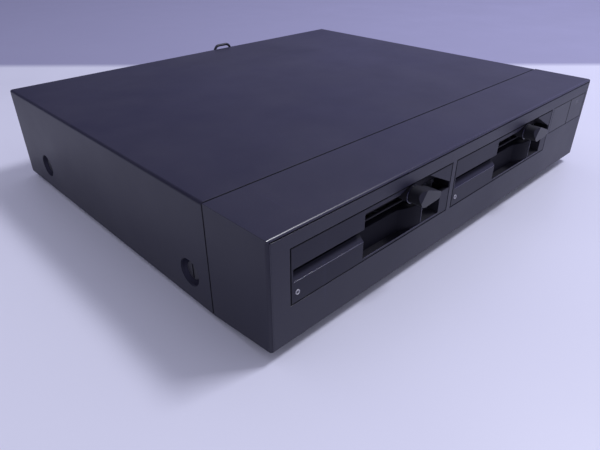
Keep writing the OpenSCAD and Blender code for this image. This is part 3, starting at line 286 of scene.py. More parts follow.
def group_scuffs():
    """Thin scratches in two directions and soft smears from handling"""
    t, given, out = new_group("Handling marks", {"Amount": 0.5},
                              {"Scratches": "NodeSocketFloat", "Smears": "NodeSocketFloat"})
    place = t.node("ShaderNodeTexCoord").outputs["Object"]
    lines = None
    for turn, scale in ((0.5, (9.0, 260.0, 9.0)), (-0.9, (240.0, 8.0, 8.0))):
        turned = t.node("ShaderNodeMapping", {"Vector": place, "Rotation": (0.5, 0.35, turn),
                                              "Scale": scale}).outputs[0]
        line = t.remap(t.noise(turned, 1.0, 2.0, 0.5), 0.665, 0.70)
        lines = line if lines is None else t.maths("MAXIMUM", lines, line)
    rare = t.remap(t.noise(place, 22.0, 2.0, 0.5), 0.50, 0.62)
    t.feed(out["Scratches"], t.maths("MULTIPLY", t.maths("MULTIPLY", lines, rare), given["Amount"], True))
    t.feed(out["Smears"], t.remap(t.noise(place, 6.0, 5.0, 0.65), 0.38, 0.70))
    return t.tree


def group_brushing():
    """Fine parallel lines of rolled or ground metal along X"""
    t, given, out = new_group("Metal grain", {"Depth": 1.0},
                              {"Height": "NodeSocketFloat", "Tone": "NodeSocketFloat"})
    place = t.node("ShaderNodeTexCoord").outputs["Object"]
    lines = t.noise(t.stretched(place, (40.0, 2600.0, 2600.0)), 1.0, 3.0, 0.6)
    cloud = t.noise(place, 45.0, 4.0, 0.6)
    t.feed(out["Height"], t.maths("MULTIPLY", lines, given["Depth"]))
    t.feed(out["Tone"], t.maths("ADD", t.maths("MULTIPLY", lines, 0.5), t.maths("MULTIPLY", cloud, 0.5)))
    return t.tree


GROUP_MAKERS = {"stipple": group_stipple, "wear": group_wear, "dust": group_dust, "scuffs": group_scuffs,
                "grain": group_brushing}
GROUPS = {}


def place_group(t, name, **values):
    """A shared effect placed in a material with its own values"""
    if name not in GROUPS:
        GROUPS[name] = GROUP_MAKERS[name]()
    made = t.node("ShaderNodeGroup", node_tree=GROUPS[name])
    for key, value in values.items():
        t.feed(made.inputs[key], value)
    return made.outputs


def new_material(name):
    """A material with its one shader, linked to the output"""
    made = bpy.data.materials.new(name)
    made.use_nodes = True
    made.node_tree.nodes.clear()
    t = Tree(made.node_tree)
    shader = t.node("ShaderNodeBsdfPrincipled")
    t.feed(t.node("ShaderNodeOutputMaterial").inputs["Surface"], shader.outputs[0])
    return made, t, shader.inputs


def shade_of(colour, factor):
    """A colour made lighter or darker"""
    return tuple(min(1.0, part * factor) for part in colour)


def place_in_unit(t):
    """X, Y and Z of a point on the unit at rest"""
    place = t.node("ShaderNodeTexCoord").outputs["Object"]
    return t.node("ShaderNodeSeparateXYZ", {0: place}).outputs


def bezel_painted_shade(t):
    """Masks of painted shade in the groove, on the bay walls, inside the front frame and along the cover seam
    behind it
    """
    x, y, z = place_in_unit(t)
    behind = t.remap(y, FRONT + 0.0002, FRONT + 0.0008)
    ahead = t.remap(y, FRONT + 0.0555, FRONT + 0.055)
    within = t.maths("MULTIPLY", t.remap(t.maths("ABSOLUTE", x), CASE_HALF - 0.0007, CASE_HALF - 0.0009),
                     t.remap(z, CASE_TOP - 0.0007, CASE_TOP - 0.0009))
    inside = t.maths("MULTIPLY", t.maths("MULTIPLY", behind, ahead), within)
    # Painted shade in the crevice along the cover seam
    seam = t.remap(t.maths("ABSOLUTE", t.maths("SUBTRACT", y, COVER_SEAM)), 0.0008, 0.0004)
    return t.maths("MAXIMUM", inside, seam), None


def bezel_polish(t):
    """Mask of the rounding along the top of the front, rubbed smooth by hands"""
    _, y, z = place_in_unit(t)
    ahead = t.remap(y, FRONT + 0.0021, FRONT + 0.0018)
    return t.maths("MULTIPLY", ahead, t.remap(z, CASE_TOP - 0.0021, CASE_TOP - 0.0018))


def face_painted_light(t):
    """Masks of painted shade in a faceplate's recess and slot and along its outer rim, and of painted bounce light
    in the cavity round its lever
    """
    x, y, z = place_in_unit(t)
    along = t.maths("MODULO", t.maths("SUBTRACT", x, BAY_LEFT), BAY_PITCH)
    behind = t.maths("SUBTRACT", y, FRONT)
    # The recess, the upper part of the slot's lip and the rim are darkened as painted shade; the cavity is lifted
    # as painted light
    recess = t.maths("MULTIPLY", t.remap(behind, 0.0001, 0.0012), t.remap(along, 0.0577, 0.0580))
    cavity_light = t.maths("MULTIPLY", recess, t.remap(z, BAY_LOW + 0.0230, BAY_LOW + 0.0234))
    normal = t.node("ShaderNodeNewGeometry").outputs["Normal"]
    endways = t.maths("ABSOLUTE", t.node("ShaderNodeSeparateXYZ", {0: normal}).outputs["X"])
    slot = t.maths("MULTIPLY", t.remap(behind, 0.0012, 0.0026), t.remap(endways, 0.8, 0.5))
    rim = None
    for near in (t.maths("SUBTRACT", along, 0.0007), t.maths("SUBTRACT", BAY_WIDTH - 0.0007, along),
                 t.maths("SUBTRACT", z, BAY_LOW + 0.0007), t.maths("SUBTRACT", BAY_HIGH - 0.0007, z)):
        rim = near if rim is None else t.maths("MINIMUM", rim, near)
    rim = t.remap(rim, 0.0005, 0.0002)
    return t.maths("MAXIMUM", t.maths("MAXIMUM", recess, slot), rim), cavity_light


def panel_painted_shade(t):
    """Masks of painted shade in the seams round the blank plate and the power button, and on faces set back from
    the front
    """
    x, y, z = place_in_unit(t)
    near = None
    for node in ("blank_plate", "power_button"):
        low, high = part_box(node)
        left = low[0] if node == "power_button" else low[0] + BLANK_LIP * MM
        for edge in (left, high[0]):
            room = t.maths("ABSOLUTE", t.maths("SUBTRACT", x, edge))
            near = room if near is None else t.maths("MINIMUM", near, room)
    low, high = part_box("power_button")
    near = t.maths("MINIMUM", near, t.maths("SUBTRACT", z, low[2]))
    near = t.maths("MINIMUM", near, t.maths("SUBTRACT", high[2], z))
    behind = t.remap(t.maths("SUBTRACT", y, FRONT), 0.0003, 0.001)
    return t.maths("MAXIMUM", t.remap(near, 0.0005, 0.0002), behind), None


def lever_side_shade(t):
    """Mask of painted shade on a lever's faces that don't look to the front"""
    normal = t.node("ShaderNodeNewGeometry").outputs["Normal"]
    ahead = t.maths("ABSOLUTE", t.node("ShaderNodeSeparateXYZ", {0: normal}).outputs["Y"])
    return t.remap(ahead, 0.8, 0.5), None


def moulded_plastic(name, colour, look, roughness, depth=1.0, marks=0.5, gloss=0.5, painted_light_masks=None,
                    polish=None, shade_tone=0.2, rounding=None):
    """Textured plastic: stipple, polished edges, smears, scratches and dust, with painted shade in masked hollows
    and painted bounce light in a masked cavity
    """
    made, t, shader = new_material(name)
    stipple = place_group(t, "stipple", Size=look.stipple_size, Depth=depth)
    edges = place_group(t, "wear", Radius=rounding or look.edge_round, Amount=look.wear)
    dust = place_group(t, "dust", Amount=look.dust)["Mask"]
    marked = place_group(t, "scuffs", Amount=marks)
    tone = t.mix(stipple["Patches"], shade_of(colour, 0.92), shade_of(colour, 1.08))
    tone = t.mix(t.maths("MULTIPLY", marked["Scratches"], 0.4), tone, shade_of(colour, 2.4))
    tone = t.mix(edges["Mask"], tone, shade_of(colour, 2.2))
    tone = t.mix(dust, tone, (0.22, 0.21, 0.24))
    rough = t.remap(marked["Smears"], 0.0, 1.0, roughness - 0.04, roughness + 0.05)
    rough = t.maths("SUBTRACT", rough, t.maths("MULTIPLY", edges["Edge"], 0.16))
    height = stipple["Height"]
    if polish:
        rubbed = polish(t)
        rough = t.maths("SUBTRACT", rough, t.maths("MULTIPLY", rubbed, 0.20))
        height = t.maths("MULTIPLY", height, t.remap(rubbed, 0, 1, 1.0, 0.1))
    # Painted shade: the first mask darkens hollows, slots and seams where shade falls. Painted light: the second
    # mask lifts a cavity's tone as if bounced light reached it
    if painted_light_masks:
        shaded, cavity_light = painted_light_masks(t)
        tone = t.mix(shaded, tone, shade_of(colour, shade_tone))
        rough = t.maths("ADD", rough, t.maths("MULTIPLY", shaded, 0.3))
        if cavity_light:
            tone = t.mix(cavity_light, tone, (colour[0] * 1.7, colour[1] * 1.7, colour[1] * 2.3))
    t.feed(shader["Base Color"], tone)
    t.feed(shader["Roughness"], t.maths("ADD", rough, t.maths("MULTIPLY", dust, 0.4), True))
    shader["Specular IOR Level"].default_value = gloss
    bump = t.node("ShaderNodeBump", {"Height": height, "Strength": 0.25, "Distance": 0.00008,
                                     "Normal": edges["Normal"]})
    t.feed(shader["Normal"], bump.outputs[0])
    return made


def ground_metal(name, colour, roughness, depth=1.0):
    """Bare or plated metal with rolling lines, tone changes and bright edges"""
    made, t, shader = new_material(name)
    grain = place_group(t, "grain", Depth=depth)
    edges = place_group(t, "wear", Radius=0.0004, Amount=0.7)
    tone = t.mix(grain["Tone"], shade_of(colour, 0.82), shade_of(colour, 1.15))
    t.feed(shader["Base Color"], t.mix(edges["Mask"], tone, shade_of(colour, 1.3)))
    t.feed(shader["Roughness"], t.remap(grain["Tone"], 0.2, 0.8, roughness - 0.07, roughness + 0.1))
    shader["Metallic"].default_value = 1.0
    bump = t.node("ShaderNodeBump", {"Height": grain["Height"], "Strength": 0.2, "Distance": 0.00005,
                                     "Normal": edges["Normal"]})
    t.feed(shader["Normal"], bump.outputs[0])
    return made


def coated_metal(name, colour, roughness):
    """Paint or oxide on steel, with bright metal where the edges are worn"""
    made, t, shader = new_material(name)
    stipple = place_group(t, "stipple", Size=0.0009, Depth=0.6)
    edges = place_group(t, "wear", Radius=0.0005, Amount=0.6)
    marked = place_group(t, "scuffs", Amount=0.6)
    tone = t.mix(stipple["Patches"], shade_of(colour, 0.9), shade_of(colour, 1.12))
    worn = t.maths("MAXIMUM", t.maths("MULTIPLY", edges["Mask"], 0.8),
                   t.maths("MULTIPLY", marked["Scratches"], 0.3))
    t.feed(shader["Base Color"], t.mix(worn, tone, (0.32, 0.32, 0.34)))
    t.feed(shader["Metallic"], t.maths("MULTIPLY", worn, 0.9))
    t.feed(shader["Roughness"], t.remap(marked["Smears"], 0, 1, roughness - 0.05, roughness + 0.08))
    bump = t.node("ShaderNodeBump", {"Height": stipple["Height"], "Strength": 0.2, "Distance": 0.00006,
                                     "Normal": edges["Normal"]})
    t.feed(shader["Normal"], bump.outputs[0])
    return made


def circuit_board(name, colour):
    """Green solder resist over a maze of tracks, with small tinned pads"""
    made, t, shader = new_material(name)
    place = t.node("ShaderNodeTexCoord").outputs["Object"]
    bricks = t.node("ShaderNodeTexBrick", {"Vector": place, "Scale": 120.0, "Mortar Size": 0.08,
                                           "Brick Width": 1.7, "Row Height": 0.28}).outputs["Fac"]
    pads = t.node("ShaderNodeTexVoronoi", {"Vector": place, "Scale": 390.0}, feature="F1").outputs["Distance"]
    pad = t.remap(pads, 0.16, 0.12)
    tone = t.mix(bricks, shade_of(colour, 1.5), colour)
    t.feed(shader["Base Color"], t.mix(pad, tone, (0.5, 0.5, 0.5)))
    t.feed(shader["Metallic"], t.maths("MULTIPLY", pad, 0.9))
    t.feed(shader["Roughness"], t.remap(bricks, 0, 1, 0.28, 0.42))
    bump = t.node("ShaderNodeBump", {"Height": bricks, "Strength": 0.3, "Distance": 0.00004})
    t.feed(shader["Normal"], bump.outputs[0])
    return made


def ribbon_cable(name, colour):
    """Flat cable of round wires side by side"""
    made, t, shader = new_material(name)
    place = t.node("ShaderNodeTexCoord").outputs["Object"]
    wires = t.node("ShaderNodeTexWave", {"Vector": place, "Scale": 125.0, "Distortion": 0.0},
                   wave_type="BANDS", bands_direction="X", wave_profile="SIN").outputs["Fac"]
    cloud = t.noise(place, 60.0, 4.0)
    # Painted shade: the tone darkens in the troughs between the round wires
    tone = t.mix(wires, shade_of(colour, 0.6), colour)
    t.feed(shader["Base Color"], t.mix(t.maths("MULTIPLY", cloud, 0.3), tone, shade_of(colour, 0.75)))
    t.feed(shader["Roughness"], t.remap(cloud, 0.3, 0.7, 0.4, 0.55))
    bump = t.node("ShaderNodeBump", {"Height": wires, "Strength": 0.6, "Distance": 0.0003})
    t.feed(shader["Normal"], bump.outputs[0])
    return made


def clear_lens(name, colour, roughness=0.18, coat=0.5):
    """Tinted lens with small flaws and a clear coat"""
    made, t, shader = new_material(name)
    place = t.node("ShaderNodeTexCoord").outputs["Object"]
    cloud = t.noise(place, 700.0, 3.0)
    t.feed(shader["Base Color"], t.mix(cloud, shade_of(colour, 0.75), shade_of(colour, 1.2)))
    t.feed(shader["Roughness"], t.remap(cloud, 0.3, 0.7, roughness, roughness + 0.15))
    shader["Coat Weight"].default_value = coat
    return made


def make_finishes(look):
    """Every material, by the record's slot or by the name that an added piece asks for"""
    case = tuple(look.case_colour)
    face = tuple(look.face_colour)
    lever = tuple(look.lever_colour)
    trim = tuple(look.trim_colour)
    return {
        # The cover plastic carries painted shade in its groove, on its bay walls and along the cover seam
        "case_plastic": moulded_plastic("Cover plastic", case, look, 0.42, painted_light_masks=bezel_painted_shade, gloss=0.43,
                                        polish=bezel_polish),
        # The switch panel plastic carries painted shade in its seams and on faces set back from the front
        "trim_plastic": moulded_plastic("Switch panel plastic", trim, look, 0.40, 0.6, painted_light_masks=panel_painted_shade,
                                        gloss=0.45),
        # The faceplates carry painted shade in the recess, slot and rim, and painted light in the cavity round the
        # lever
        "face_plastic": moulded_plastic("Faceplate plastic", face, look, 0.44, 1.1, painted_light_masks=face_painted_light,
                                        gloss=0.27),
        # Painted shade: the scoop's skin is darker than the faceplate, as if the recess lay in shade
        "recess_shade_plastic": moulded_plastic("Recess plastic with painted shade", (0.0066, 0.0063, 0.0105), look, 0.60, 1.1, 0.2,
                                          0.06, rounding=0.00002),
        # Painted light: the pocket's skin is lighter than the faceplate, standing in for light bounced into it
        "pocket_lit_plastic": moulded_plastic("Pocket plastic with painted bounce light", (0.020, 0.0195, 0.027), look, 0.60, 1.1, 0.2, 0.1,
                                          rounding=0.00002),
        # Painted highlight: the beads' plastic is 2.5 times lighter than the faceplate so they read as bright
        # edges
        "highlight_plastic": moulded_plastic("Highlight bead plastic", shade_of(face, 2.5), look, 0.21, 0.3, 0.6, 1.0),
        # Painted shadow: near-black plastic for the strips that fill the gaps round front parts
        "shadow_line_black": moulded_plastic("Shadow line black", (0.0016, 0.0016, 0.0035), look, 0.85, 0.5, 0.0, 0.04),
        # The levers' sides carry painted shade, darkened to 0.6 of their colour
        "lever_plastic": moulded_plastic("Lever plastic", lever, look, 0.36, 0.5, 0.8, gloss=0.42,
                                         painted_light_masks=lever_side_shade, shade_tone=0.6),
        "black_plastic": moulded_plastic("Black plastic", (0.012, 0.012, 0.014), look, 0.38, 0.8),
        "foot_rubber": moulded_plastic("Foot rubber", (0.016, 0.016, 0.018), look, 0.75, 1.6, 0.2, 0.2),
        # Painted light: the dishes are lighter than the case to lift the shade inside them
        "dish_lit_plastic": moulded_plastic("Screw dish plastic, painted lighter", shade_of(case, 1.2), look, 0.5, 0.9, 0.3, 0.4),
        "rounding_plastic": moulded_plastic("Front rounding plastic", case, look, 0.27, 0.1, gloss=0.5),
        "fillet_plastic": moulded_plastic("Front fillet plastic", case, look, 0.42, gloss=0.43),
        "screw_black": coated_metal("Blackened screws", (0.013, 0.012, 0.018), 0.34),
        "rear_paint": coated_metal("Rear panel paint", (0.028, 0.027, 0.040), 0.45),
        "black_anodised": coated_metal("Black heat sink", (0.014, 0.014, 0.016), 0.5),
        "plated_steel": ground_metal("Plated steel", (0.50, 0.50, 0.50), 0.36),
        "bright_steel": ground_metal("Bright steel", (0.58, 0.58, 0.60), 0.26),
        "wire_steel": ground_metal("Spring wire", (0.42, 0.42, 0.45), 0.32),
        "cast_aluminium": ground_metal("Cast aluminium", (0.46, 0.47, 0.49), 0.5, 2.0),
        "capstan_brass": ground_metal("Turned brass", (0.62, 0.43, 0.16), 0.3),
        "circuit_board": circuit_board("Circuit board", (0.02, 0.09, 0.035)),
        "ribbon_grey": ribbon_cable("Ribbon cable", (0.30, 0.30, 0.33)),
        "pale_lens": clear_lens("Smoked lens", (0.018, 0.017, 0.028), 0.34, 0.1),
        "light_lens": clear_lens("Activity lens", (0.42, 0.41, 0.47)),
        "light_core": clear_lens("Activity lens core", (0.02, 0.019, 0.03), 0.3, 0.1),
    }


FINISHES = {}


def finish_for(slot):
    """The material of a slot, with all of them made at the first call"""
    if not FINISHES:
        FINISHES.update(make_finishes(bpy.context.scene.disk_unit_finish))
    return FINISHES[slot]


def dress(obj, slot):
    """Gives an object the one finish of a slot"""
    obj.data.materials.clear()
    obj.data.materials.append(finish_for(slot))


# Mesh helpers

def add_object(name, mesh, body, slot, finish=None):
    """A new piece that rides on a body and takes a slot's finish, or one named for it"""
    made = bpy.data.objects.new(name, mesh)
    bpy.context.scene.collection.objects.link(made)
    dress(made, finish or slot)
    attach(made, body)
    return made


def smooth_by_angle(mesh, limit):
    """Smooth faces, with edges over the limit kept sharp"""
    bm = bmesh.new()
    bm.from_mesh(mesh)
    for face in bm.faces:
        face.smooth = True
    for edge in bm.edges:
        edge.smooth = len(edge.link_faces) == 2 and edge.calc_face_angle() < limit
    bm.to_mesh(mesh)
    bm.free()


class Shape:
    """Points and faces of a piece, in millimetres from an origin in the unit"""

    def __init__(self, origin):
        self.origin = Vector(origin)
        self.points = []
        self.faces = []

    def loops(self, rows, closed=True):
        """Faces round and between rows of points, closed in a ring or capped at both ends"""
        base = len(self.points)
        wide = len(rows[0])
        for row in rows:
            self.points.extend(self.origin + Vector(p) * MM for p in row)
        for i in range(len(rows) - 1 + closed):
            low, high = base + i * wide, base + (i + 1) % len(rows) * wide
            for j in range(wide):
                k = (j + 1) % wide
                self.faces.append((low + j, low + k, high + k, high + j))
        if not closed:
            self.faces.append(tuple(range(base, base + wide)))
            self.faces.append(tuple(range(base + (len(rows) - 1) * wide, base + len(rows) * wide)))

    def plate(self, outline, low, high, along_x=False):
        """An outline in X and Y pushed along Z, or one in Y and Z pushed along X"""
        self.loops([[(height, *p) if along_x else (*p, height) for p in outline] for height in (low, high)],
                   closed=False)

    def ring(self, outer, inner, low, high):
        """A flat ring between two outlines in X and Z"""
        rows = [[(x, y, z) for x, z in outline] for outline, y in
                ((outer, low), (inner, low), (inner, high), (outer, high))]
        self.loops(rows)

    def lathe(self, centre, axis, profile, steps):
        """A profile of radius and height turned round an axis"""
        axis = Vector(axis).normalized()
        across = axis.orthogonal().normalized()
        beside = axis.cross(across)
        rows = []
        for i in range(steps):
            turn = 2 * math.pi * i / steps
            out = across * math.cos(turn) + beside * math.sin(turn)
            rows.append([tuple(Vector(centre) + out * r + axis * h) for r, h in profile])
        self.loops(rows)

    def bead(self, path, radius, steps=8):
        """A round bead along a path, thinner at its ends"""
        path = [Vector(p) for p in path]
        rows = []
        for i, point in enumerate(path):
            ahead = (path[min(i + 1, len(path) - 1)] - path[max(i - 1, 0)]).normalized()
            across = Vector((0, 1, 0)) if abs(ahead.y) < 0.9 else Vector((0, 0, 1))
            beside = ahead.cross(across).normalized()
            size = radius * (0.35 if i in (0, len(path) - 1) else 1.0)
            rows.append([tuple(point + (across * math.cos(a) + beside * math.sin(a)) * size)
                         for a in (2 * math.pi * k / steps for k in range(steps))])
        self.loops(rows, closed=False)

    def mesh(self, name):
        """The finished mesh, welded, with its faces turned outwards"""
        made = bpy.data.meshes.new(name)
        made.from_pydata(self.points, [], self.faces)
        bm = bmesh.new()
        bm.from_mesh(made)
        bmesh.ops.remove_doubles(bm, verts=bm.verts, dist=1e-7)
        bmesh.ops.dissolve_degenerate(bm, edges=bm.edges, dist=1e-7)
        bmesh.ops.recalc_face_normals(bm, faces=bm.faces)
        bm.to_mesh(made)
        bm.free()
        smooth_by_angle(made, SMOOTH_ANGLE)
        return made


def rectangle(low, high):
    """Corners of a rectangle"""
    return [(high[0], high[1]), (low[0], high[1]), (low[0], low[1]), (high[0], low[1])]


def arc(centre, radius, start, end, steps):
    """Points on an arc, with its angles in degrees"""
    return [(centre[0] + radius * math.cos(math.radians(start + (end - start) * i / steps)),
             centre[1] + radius * math.sin(math.radians(start + (end - start) * i / steps)))
            for i in range(steps + 1)]


def moved_left(path, distance):
    """A path in a plane, moved to its left"""
    moved = []
    for i, point in enumerate(path):
        ahead = (Vector(path[min(i + 1, len(path) - 1)]) - Vector(path[max(i - 1, 0)])).normalized()
        moved.append((point[0] - ahead.y * distance, point[1] + ahead.x * distance))
    return moved


def bay_origin(side):
    """The lower left front corner of a bay"""
    return BAY_LEFT + SIDES.index(side) * BAY_PITCH, FRONT, BAY_LOW


def shadow_line_strip(shape, low, high, gap, ease, depth):
    """A thin dark frame of painted shadow that fills the gap round a front part, corners in millimetres"""
    outer = rectangle([v - gap + ease for v in low], [v + gap - ease for v in high])
    inner = rectangle([v - ease for v in low], [v + ease for v in high])
    shape.ring(outer, inner, *depth)


def in_mm(node):
    """A node's lowest and highest corners in millimetres"""
    return [[value / MM for value in corner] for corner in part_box(node)]


def evenly(start, end, steps):
    """Numbers spread evenly from one to another"""
    return [start + (end - start) * i / steps for i in range(steps + 1)]


# Operators

class DISKUNIT_OT_case(Operator):
    """Give the case, its cover and the switch panel their finishes"""
    bl_idname = "disk_unit.case"
    bl_label = "Case and switch panel"

    def execute(self, context):
        for node in ("top_cover", "front_bezel", "blank_plate", "power_button", "power_lens", "rubber_feet",
                     "cover_screws", "foot_screws", "base_chassis"):
            dress(NODES[node], SLOT_OF[node])
        self.cup_dishes()
        self.edge_fillets()
        self.front_rounding()
        self.panel_shadow_lines()
        return {"FINISHED"}

    def cup_dishes(self):
        """A soft dish round each of the four big screws, in plastic painted lighter than the case to lift its
        shade
        """
        for side in (-1, 1):
            shape = Shape((side * CASE_HALF, FRONT, CUP_LEVEL))
            for place in CUP_PLACES:
                shape.lathe((0, place, 0), (-side, 0, 0), DISH, 48)
            name = "left_screw_dishes" if side < 0 else "right_screw_dishes"
            add_object(name, shape.mesh(name), BODY_OF["top_cover"], "case_plastic", "dish_lit_plastic")

    def edge_fillets(self):
        """Slim strips in the upright grooves at both ends of the front"""
        shape = Shape((0, FRONT, 0))
        low, high = in_mm("front_bezel")
        for side in (-1, 1):
            left = side * CASE_HALF / MM + (1.33 if side < 0 else -2.17)
            section = ((0, 0.06), (0.1, 0), (0.74, 0), (0.84, 0.06), (0.84, 1.15), (0, 1.15))
            shape.plate([(left + x, y) for x, y in section], low[2] + BEZEL_RISE + 0.05, high[2] - 2.25)
        add_object("front_edge_fillets", shape.mesh("front_edge_fillets"), BODY_OF["front_bezel"], "case_plastic",
                   "fillet_plastic")

    def front_rounding(self):
        """Smooth skin on the rounding along the top of the front"""
        middle = (EDGE_RADIUS, CASE_TOP / MM - EDGE_RADIUS)
        half = CASE_HALF / MM - EDGE_RADIUS
        shape = Shape((0, FRONT, 0))
        shape.plate(arc(middle, EDGE_RADIUS + 0.03, 92, 155, 12) + arc(middle, EDGE_RADIUS - 0.02, 155, 92, 12),
                    -half, half, along_x=True)
        add_object("front_rounding", shape.mesh("front_rounding"), BODY_OF["front_bezel"], "case_plastic",
                   "rounding_plastic")

    def panel_shadow_lines(self):
        """Dark strips of painted shadow in the gaps round the blank plate and the power button"""
        shape = Shape((0, FRONT, 0))
        for node, lip in (("blank_plate", BLANK_LIP), ("power_button", 0.0)):
            low, high = in_mm(node)
            shadow_line_strip(shape, (low[0] + lip, low[2] + lip), (high[0], high[2] - lip), PANEL_ROOM, 0.03, (0.3, 1.6))
        add_object("panel_shadow_lines", shape.mesh("panel_shadow_lines"), BODY_OF["front_bezel"], "black_plastic",
                   "shadow_line_black")


class DISKUNIT_OT_drives(Operator):
    """Give each drive's faceplate, light, lever and mechanism their finishes"""
    bl_idname = "disk_unit.drives"
    bl_label = "Drives"

    def execute(self, context):
        for node in NODES:
            if node.split("_")[0] in SIDES:
                dress(NODES[node], SLOT_OF[node])
        for side in SIDES:
            self.seam(side)
            self.linings(side)
            self.edges(side)
            self.light(side)
        return {"FINISHED"}

    def seam(self, side):
        """Dark strip of painted shadow in the gap round the faceplate"""
        low, high = in_mm(side + "_faceplate")
        shape = Shape((0, FRONT, 0))
        shadow_line_strip(shape, (low[0], low[2]), (high[0], high[2]), FACE_ROOM, 0.04, (0.15, 1.9))
        name = side + "_faceplate_shadow_line"
        add_object(name, shape.mesh(name), BODY_OF["front_bezel"], "black_plastic", "shadow_line_black")

    def linings(self, side):
        """Moulded skin of the finger scoop and of the pocket beside the post, the scoop's darkened as painted
        shade and the pocket's lightened as painted bounce light
        """
        scoop = [(SCOOP_LEFT, 3.5), *reversed(arc((SCOOP_LEFT + CORNER, 4.24), CORNER, 90, 180, 5)),
                 *arc(SCOOP_CURVE, SCOOP_RADIUS, 242.2, 270, 14), (116.7, 0.24)]
        back = POCKET_BACK - CORNER
        pocket = [(POCKET_LEFT, 0.6), *reversed(arc((POCKET_LEFT + CORNER, back), CORNER, 90, 180, 5)),
                  *reversed(arc((POCKET_RIGHT - CORNER, back), CORNER, 0, 90, 5)), (POCKET_RIGHT, 0.35)]
        for part, path, finish in (("scoop", scoop, "recess_shade_plastic"), ("pocket", pocket, "pocket_lit_plastic")):
            shape = Shape(bay_origin(side))
            shape.plate(path + moved_left(path, LINING_SKIN)[::-1], *LINING_WALL)
            shape.plate(path + [(path[-1][0], 0.3), (path[0][0], 0.3)], *LINING_FLOOR)
            if part == "scoop":
                slope = [(0.35, LINING_WALL[0]), (3.5, LINING_WALL[0]), (3.5, 18.1), (0.35, 14.8)]
                shape.plate(slope, SCOOP_LEFT - 0.03, SCOOP_LEFT, along_x=True)
            name = f"{side}_{part}_lining"
            add_object(name, shape.mesh(name), BODY_OF[side + "_faceplate"], "face_plastic", finish)

    def edges(self, side):
        """Glossy beads along the slot's lip, the post and the ring round the lever's neck; their shine is real,
        their lighter colour a painted highlight
        """
        shape = Shape(bay_origin(side))
        shape.bead([(x, -0.08, LIP_LEVEL) for x in evenly(2.0, 57.8, 24)], 0.27)
        shape.bead([(POST_EDGE, 0.18, z) for z in evenly(3.0, 17.8, 12)], 0.32)
        shape.bead([(x, 0.06, z) for x, z in arc(LEVER, NECK_RADIUS, 150, 262, 20)], 0.3)
        shape.bead([(x, 0.1, 2.3) for x in evenly(58.6, 136.6, 24)], 0.2)
        name = side + "_highlight_beads"
        add_object(name, shape.mesh(name), BODY_OF[side + "_faceplate"], "face_plastic", "highlight_plastic")

    def light(self, side):
        """Activity light: a pale collar round a dark core"""
        node = side + "_activity_light"
        for part, profile, steps, finish in (("collar", COLLAR, 28, "light_lens"),
                                             ("core", CORE, 24, "light_core")):
            shape = Shape(bay_origin(side))
            shape.lathe(LIGHT, (0, 1, 0), profile, steps)
            name = f"{side}_activity_{part}"
            add_object(name, shape.mesh(name), BODY_OF[node], "light_lens", finish)
        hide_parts(node)


class DISKUNIT_OT_rear(Operator):
    """Give the rear panel and its connectors their finishes"""
    bl_idname = "disk_unit.rear"
    bl_label = "Rear panel"

    def execute(self, context):
        for node in ("rear_panel", "mains_inlet", "fuse_holder", "interface_connector", "upper_bail",
                     "lower_bail"):
            dress(NODES[node], SLOT_OF[node])
        self.contacts()
        self.blades()
        return {"FINISHED"}

    def contacts(self):
        """Gold contact springs on both sides of the connector's tongue"""
        shape = Shape(PORT)
        for row in range(CONTACTS):
            z = (row - (CONTACTS - 1) / 2) * CONTACT_STEP
            for side in (-1, 1):
                outline = [(side * 1.79, 0.4), (side * 2.05, 0.4), (side * 2.18, 4.0), (side * 2.22, 7.0),
                           (side * 2.0, 8.4), (side * 1.79, 8.6)]
                shape.plate(outline, z - 0.42, z + 0.42)
        add_object("connector_contacts", shape.mesh("connector_contacts"), BODY_OF["interface_connector"],
                   "capstan_brass")

    def blades(self):
        """Flat blades of the mains inlet, rounded at their tips"""
        shape = Shape(INLET)
        outline = ((-15.6, -1.9), (-3.2, -1.9), (-2.4, -1.5), (-2.0, -0.9), (-2.0, 0.9), (-2.4, 1.5), (-3.2, 1.9),
                   (-15.6, 1.9))
        for i in (-1, 0, 1):
            z = 2.0 if i == 0 else -2.0
            shape.plate([(y, z + h) for y, h in outline], BLADE_STEP * i - 1.0, BLADE_STEP * i + 1.0, along_x=True)
        add_object("inlet_blades", shape.mesh("inlet_blades"), BODY_OF["mains_inlet"], "bright_steel")


class DISKUNIT_OT_inside(Operator):
    """Give the power supply, boards, cables and rails their finishes"""
    bl_idname = "disk_unit.inside"
    bl_label = "Inside"

    def execute(self, context):
        for node in ("power_switch", "drive_rails", "drive_screws", "power_supply_board", "mains_transformer",
                     "heat_sink", "smoothing_capacitors", "interface_board", "ribbon_cables"):
            dress(NODES[node], SLOT_OF[node])
        return {"FINISHED"}


def floor_material(stage):
    """Pale sheet that turns into the backdrop's tone along a soft line behind the unit"""
    made, t, shader = new_material("Floor sheet")
    place = t.node("ShaderNodeTexCoord").outputs["Object"]
    behind = t.node("ShaderNodeVectorMath", {0: place, 1: AWAY}, operation="DOT_PRODUCT")
    far = t.remap(behind.outputs["Value"], stage.backdrop_line - 0.012, stage.backdrop_line + 0.012)
    cloud = t.noise(place, 2.3, 3.0, 0.5)
    sheet = t.mix(cloud, shade_of(stage.floor_colour, 0.96), shade_of(stage.floor_colour, 1.03))
    t.feed(shader["Base Color"], t.mix(far, sheet, shade_of(stage.backdrop_colour, 1.15)))
    t.feed(shader["Roughness"], t.remap(t.noise(place, 9.0, 3.0), 0.3, 0.7, 0.36, 0.46))
    return made


def plain_sheet(name, corners, material):
    """A flat sheet that belongs to the stage"""
    mesh = bpy.data.meshes.new(name)
    mesh.from_pydata([Vector(c) for c in corners], [], [tuple(range(len(corners)))])
    made = bpy.data.objects.new(name, mesh)
    bpy.context.scene.collection.objects.link(made)
    mesh.materials.append(material)


